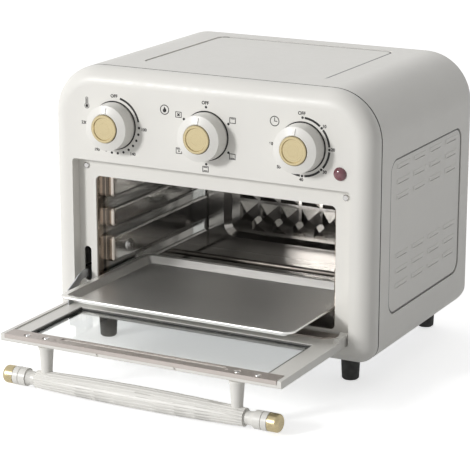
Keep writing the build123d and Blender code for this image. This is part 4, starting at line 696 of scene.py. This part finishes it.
figures(temperature_print, x0, z0, TEMPERATURE_FIGURES)
temperature_print.text("OFF", x0 + TEMPERATURE_OFF[0], z0 + TEMPERATURE_OFF[1], OFF_LETTERS)
tx, tz = x0 + THERMOMETER[0], z0 + THERMOMETER[1]
temperature_print.dot(tx, tz - BULB_BELOW, BULB_WIDTH)
temperature_print.line(tx, tz + COLUMN_LOW, tx, tz + COLUMN_HIGH, COLUMN_WIDTH)
temperature_print.arc(tx, tz - BULB_BELOW, BULB_RING, TUBE_LINE, BULB_MOUTH, 360 - BULB_MOUTH)
for side in (-TUBE_REACH, TUBE_REACH):
    temperature_print.line(tx + side, tz + TUBE_LOW, tx + side, tz + TUBE_HIGH, TUBE_LINE)
temperature_print.arc(tx, tz + TUBE_HIGH, TUBE_REACH, TUBE_LINE, -90, 90)
temperature_print.finish("temperature_scale")
print("temperature scale has", TEMPERATURE_STEPS, "dots and one band")


# %% [markdown]
# The pictures of the function dial
# Each setting has a small picture: a box for the oven, a bar at the top or the bottom for the
# element that heats, and a dot or four blades for the fan. A flame in a circle stands for the
# whole dial.

# %% Function scale
FUNCTION_STEPS = 6
FUNCTION_OFF = (-0.8, 34.8)
ICON = 6.4
ICON_LINE = 0.75
ICON_WIDTH = ICON * 1.15
BAR_REACH = 2.0
BAR_UP = 1.7
FAN_DOT = 1.8
FAN_DOT_BELOW = 0.5
ICONS = {
    "top heat": (31.1, 19.3, True, False, False),
    "bottom heat": (30.8, -18.9, False, True, False),
    "both heats": (-0.8, -35.6, True, True, False),
    "top heat and fan": (-32.5, -19.3, True, False, True),
}
FAN_ICON = (-32.7, 19.2)
FAN_BLADES = 4
BLADE_REACH = 1.4
BLADE_DOT = 1.3
BLADE_CORNERS = 12
FAN_HUB = 2.2
FLAME_SIGN = (-49.4, 22.9)
FLAME = [(0, 3.4), (0.5, 2.2), (1.7, 0.9), (2.2, -0.6), (1.7, -2.2), (0.5, -2.9), (-0.6, -2.9),
         (-1.8, -2.2), (-2.2, -0.7), (-1.6, 0.7), (-1.0, 0.2), (-0.8, 1.8)]
function_print, x0, z0 = start_dial("function_knob")
for step in range(FUNCTION_STEPS):
    ring_dot(function_print, x0, z0, step * 360.0 / FUNCTION_STEPS)
function_print.text("OFF", x0 + FUNCTION_OFF[0], z0 + FUNCTION_OFF[1], OFF_LETTERS)
for across, up, top, bottom, fan in ICONS.values():
    cx, cz = x0 + across, z0 + up
    function_print.frame_box(cx, cz, ICON_WIDTH, ICON, ICON_LINE)
    for heats, level in ((top, BAR_UP), (bottom, -BAR_UP)):
        if heats:
            function_print.line(cx - BAR_REACH, cz + level, cx + BAR_REACH, cz + level, ICON_LINE)
    if fan:
        function_print.dot(cx, cz - FAN_DOT_BELOW, FAN_DOT)
fx, fz = x0 + FAN_ICON[0], z0 + FAN_ICON[1]
for blade in range(FAN_BLADES):
    turn = TURN * (blade + 0.5) / FAN_BLADES
    function_print.dot(fx + BLADE_REACH * math.sin(turn), fz + BLADE_REACH * math.cos(turn),
                       BLADE_DOT, BLADE_CORNERS)
function_print.dot(fx, fz, FAN_HUB)
function_print.frame_box(fx, fz, ICON_WIDTH, ICON, ICON_LINE)
rx, rz = x0 + FLAME_SIGN[0], z0 + FLAME_SIGN[1]
function_print.ring(rx, rz, ROUND_SIGN, ROUND_SIGN_LINE)
function_print.outline([(rx + x, rz + z) for x, z in reversed(FLAME)])
function_print.finish("function_scale")
print("function scale has", len(ICONS) + 2, "small pictures")


# %% [markdown]
# The clock of the timer dial
# The timer runs from off to sixty in six bands of ten minutes, with a dot between two bands. A
# small clock face stands beside it.

# %% Timer scale
TIMER_STEPS = 7
TIMER_STEP = 45.0
BAND_GAP_BEFORE = 4.5
BAND_GAP_AFTER = 5.0
TIMER_FIGURES = {"10": (24.8, 23.6), "20": (34.3, 0.6), "30": (25.4, -23.4), "40": (-1.0, -34.1),
                 "50": (-26.5, -23.6), "60": (-35.4, -0.1)}
TIMER_OFF = (-0.9, 34.8)
CLOCK = (-31.5, 23.6)
LONG_HAND = 3.4
SHORT_HAND = 2.6
HAND_WIDTH = 0.8
timer_print, x0, z0 = start_dial("timer_knob")
for step in range(TIMER_STEPS):
    turn = TIMER_STEP * step
    ring_dot(timer_print, x0, z0, turn)
    if step < TIMER_STEPS - 1:
        band_start, band_end = turn + BAND_GAP_BEFORE, turn + TIMER_STEP - BAND_GAP_AFTER
        timer_print.arc(x0, z0, DIAL_RING, SCALE_BAND, band_start, band_end)
figures(timer_print, x0, z0, TIMER_FIGURES)
timer_print.text("OFF", x0 + TIMER_OFF[0], z0 + TIMER_OFF[1], OFF_LETTERS)
cx, cz = x0 + CLOCK[0], z0 + CLOCK[1]
timer_print.ring(cx, cz, ROUND_SIGN, ROUND_SIGN_LINE)
timer_print.line(cx, cz, cx, cz + LONG_HAND, HAND_WIDTH)
timer_print.line(cx, cz, cx + SHORT_HAND, cz, HAND_WIDTH)
timer_print.finish("timer_scale")
print("timer scale runs from off to sixty")


# %% [markdown]
# The strips at the front of the chamber walls
# Each chamber wall is spot welded to the back of the front frame through a narrow strip that
# stands half a millimetre proud of the wall. It reaches from the floor to the ceiling, and carries
# three round weld marks. Its place comes from the box of the wall that it lies on.

# %% Lay the front strips
STRIP_DEPTH = 9.9 * MM
STRIP_THICKNESS = 0.5 * MM
STRIP_EDGE = 0.5 * MM
WALL_SHEET = 1.0 * MM
WELD_HEIGHTS = (94.8 * MM, 168.0 * MM, 189.3 * MM)
WELD_FROM_FRONT = 4.4 * MM
WELD_RADIUS = 1.5 * MM
WELD_RISE = 0.25 * MM
WELD_CORNERS = 20
WELD_PROFILE = ((1.0, 0.0), (0.8, 0.8), (0.4, 1.0), (0.25, 0.5))


def front_strip(side, wall):
    """Flat strip with a sloped rear edge and low domed weld marks."""
    low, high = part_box(wall)
    face = high.x - WALL_SHEET if side > 0 else low.x + WALL_SHEET
    inward = -side
    mesh = bmesh.new()
    plan = [(0.0, 0.0), (STRIP_THICKNESS, 0.0),
            (STRIP_THICKNESS, STRIP_DEPTH - STRIP_EDGE), (0.0, STRIP_DEPTH)]
    rows = [[mesh.verts.new((face + inward * out, low.y + back, z)) for out, back in plan]
            for z in (low.z + WALL_SHEET, high.z - WALL_SHEET)]
    for step in range(len(plan)):
        after = (step + 1) % len(plan)
        mesh.faces.new((rows[0][step], rows[0][after], rows[1][after], rows[1][step]))
    mesh.faces.new(rows[0][::-1])
    mesh.faces.new(rows[1])
    for height in WELD_HEIGHTS:
        rings = []
        for share, rise in WELD_PROFILE:
            turns = [TURN * step / WELD_CORNERS for step in range(WELD_CORNERS)]
            rings.append([mesh.verts.new((
                face + inward * (STRIP_THICKNESS + WELD_RISE * rise),
                low.y + WELD_FROM_FRONT + WELD_RADIUS * share * math.cos(turn),
                height + WELD_RADIUS * share * math.sin(turn))) for turn in turns])
        for inner, outer in zip(rings[1:], rings):
            for step in range(WELD_CORNERS):
                after = (step + 1) % WELD_CORNERS
                mesh.faces.new((outer[step], outer[after], inner[after], inner[step]))
        mesh.faces.new(rings[-1])
    bmesh.ops.recalc_face_normals(mesh, faces=mesh.faces)
    name = "left_wall_strip" if side < 0 else "right_wall_strip"
    data = bpy.data.meshes.new(name)
    mesh.to_mesh(data)
    mesh.free()
    strip = bpy.data.objects.new(name, data)
    bpy.context.scene.collection.objects.link(strip)
    data.materials.append(finishes["chamber_steel"])
    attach(strip, "housing")
    return strip


front_strip(-1, "cavity_left_wall")
front_strip(1, "cavity_right_wall")
print("two strips with", len(WELD_HEIGHTS), "welds each")


# %% [markdown]
# The coil of the stay spring
# The CAD model carries the spring of the stay arm as a plain closed cylinder with two straight
# ends. Here it becomes what it is: a wire wound in close turns, with a lead at each end. The lead
# points come from the ends of the plain solid. The turns stand a little to the side of them, so
# that the stay plate can slide past the coil when the door closes.

# %% Wind the coil
SPRING_TURNS = 34
POINTS_PER_TURN = 16
SPRING_RADIUS = 2.5 * MM
SPRING_WIRE = 0.45 * MM
SPRING_LEAD = 8.0 * MM
SPRING_ASIDE = 2.5 * MM
STRAIGHT_SHARE = 0.3
WIRE_ROUNDNESS = 3
plain_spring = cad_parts["arm_spring"].data.vertices
lead_start = min((v.co.copy() for v in plain_spring), key=lambda point: point.y)
lead_end = max((v.co.copy() for v in plain_spring), key=lambda point: point.y)
spring_middle = sum(corner.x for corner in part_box("arm_spring")) / 2
lead_start.x = lead_end.x = spring_middle
spring_axis = (lead_end - lead_start).normalized()
first_side = Vector((1.0, 0.0, 0.0))
second_side = spring_axis.cross(first_side)
coil_length = (lead_end - lead_start).length - 2 * SPRING_LEAD
aside = first_side * SPRING_ASIDE
coil_points = [lead_start, lead_start + spring_axis * SPRING_LEAD * STRAIGHT_SHARE]
for step in range(SPRING_TURNS * POINTS_PER_TURN + 1):
    turn = TURN * step / POINTS_PER_TURN
    along = SPRING_LEAD + coil_length * step / (SPRING_TURNS * POINTS_PER_TURN)
    coil_points.append(lead_start + aside + spring_axis * along + SPRING_RADIUS * (
        first_side * math.cos(turn) + second_side * math.sin(turn)))
coil_points += [lead_end - spring_axis * SPRING_LEAD * STRAIGHT_SHARE, lead_end]
coil_curve = bpy.data.curves.new("stay_coil", "CURVE")
coil_curve.dimensions = "3D"
coil_curve.bevel_depth = SPRING_WIRE
coil_curve.bevel_resolution = WIRE_ROUNDNESS
wire = coil_curve.splines.new("POLY")
wire.points.add(len(coil_points) - 1)
for knot, point in zip(wire.points, coil_points):
    knot.co = (*point, 1.0)
coil = bpy.data.objects.new("stay_coil", coil_curve)
bpy.context.scene.collection.objects.link(coil)
coil_curve.materials.append(finishes["screw_steel"])
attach(coil, "housing")
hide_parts("arm_spring")
print("coil has", SPRING_TURNS, "turns")


# %% [markdown]
# The floor
# A product picture has a white floor with a soft shadow. The floor is a large plane of pale paper.
# For the camera and through glass it also glows a little, so that the lit part is white while the
# shadow still shows. Shiny faces see a part of that glow.

# %% Lay the floor
FLOOR_REACH = 14.0
FLOOR_SQUARES = 8
FLOOR_PAPER = (0.72, 0.72, 0.72)
FLOOR_ROUGHNESS = 0.9
FLOOR_GLOW = 0.63
SHINY_SHARE = 0.62
WHITE = (1.0, 1.0, 1.0, 1.0)
floor_mesh = bmesh.new()
bmesh.ops.create_grid(floor_mesh, x_segments=FLOOR_SQUARES, y_segments=FLOOR_SQUARES, size=FLOOR_REACH)
floor_data = bpy.data.meshes.new("studio_floor")
floor_mesh.to_mesh(floor_data)
floor_mesh.free()
floor = bpy.data.objects.new("studio_floor", floor_data)
bpy.context.scene.collection.objects.link(floor)


def seen_rays(owner):
    """1 for a ray from the camera or through glass, a part of that for one off a shiny face."""
    rays = add_node(owner, "LightPath").outputs
    either = number(owner, "MAXIMUM", rays["Is Camera Ray"], rays["Is Transmission Ray"])
    shiny = number(owner, "MULTIPLY", rays["Is Glossy Ray"], SHINY_SHARE)
    return number(owner, "MAXIMUM", either, shiny)


floor_finish, shader = new_finish("studio_floor_paper", FLOOR_PAPER, FLOOR_ROUGHNESS)
shader.inputs["Specular IOR Level"].default_value = 0.0
shader.inputs["Emission Color"].default_value = WHITE
glow = number(floor_finish, "MULTIPLY", seen_rays(floor_finish), FLOOR_GLOW)
feed(floor_finish, shader.inputs["Emission Strength"], glow)
floor_data.materials.append(floor_finish)
print("floor reaches", FLOOR_REACH, "m each way")


# %% [markdown]
# The light
# The sky is a little stronger from above and from the left, and almost dark towards the upper
# right in front of the oven. That dark part is what gives the right side and the rounded corners
# their shade. The camera itself sees a plain white sky. One soft lamp, far away on the left,
# brightens the front and throws the shadows of the knobs. Far away, it lights the whole front
# evenly.

# %% Hang the sky and the lamp
SKY_STRENGTH = 0.66
SKY_FROM_LEFT = 0.3
SKY_FROM_ABOVE = 0.55
SKY_DARK_SIDE = (0.62, -0.52, 0.58)
SKY_DARKER = 0.75
SKY_DARK_EDGE = 0.05
SKY_LEAST = 0.23
world = bpy.data.worlds.new("studio_sky")
bpy.context.scene.world = world
world.use_nodes = True
sky = world.node_tree.nodes["Background"]
sky.inputs["Color"].default_value = WHITE
ray = add_node(world, "TexCoord").outputs["Generated"]
brighter_side = (-SKY_FROM_LEFT * SKY_STRENGTH, 0.0, SKY_FROM_ABOVE * SKY_STRENGTH)
slope = maths(world, "DOT_PRODUCT", ray, brighter_side, kind="VectorMath").outputs["Value"]
dark_share = maths(world, "DOT_PRODUCT", ray, SKY_DARK_SIDE, kind="VectorMath").outputs["Value"]
loss = add_node(world, "MapRange", Value=dark_share, From_Min=SKY_DARK_EDGE, To_Max=SKY_DARKER)
level = number(world, "ADD", slope, SKY_STRENGTH)
uneven = number(world, "SUBTRACT", level, loss.outputs["Result"])
least = number(world, "MAXIMUM", uneven, SKY_LEAST)
strength = add_node(world, "MapRange", Value=seen_rays(world), To_Min=least, To_Max=1.0)
feed(world, sky.inputs["Strength"], strength.outputs["Result"])

LAMP_PLACE = Vector((-3.05, -4.9, 2.2))
LAMP_AIM = Vector((0.0, 0.0, 0.15))
LAMP_SIZE = 1.2
LAMP_WATTS = 215.0
lamp_data = bpy.data.lights.new("soft_lamp", "AREA")
lamp_data.shape = "DISK"
lamp_data.size = LAMP_SIZE
lamp_data.energy = LAMP_WATTS
lamp = bpy.data.objects.new("soft_lamp", lamp_data)
lamp.location = LAMP_PLACE
lamp.rotation_euler = (LAMP_AIM - LAMP_PLACE).to_track_quat("-Z", "Y").to_euler()
bpy.context.scene.collection.objects.link(lamp)
print("lamp of", LAMP_WATTS, "watts hangs", round(LAMP_PLACE.length, 2), "m away")
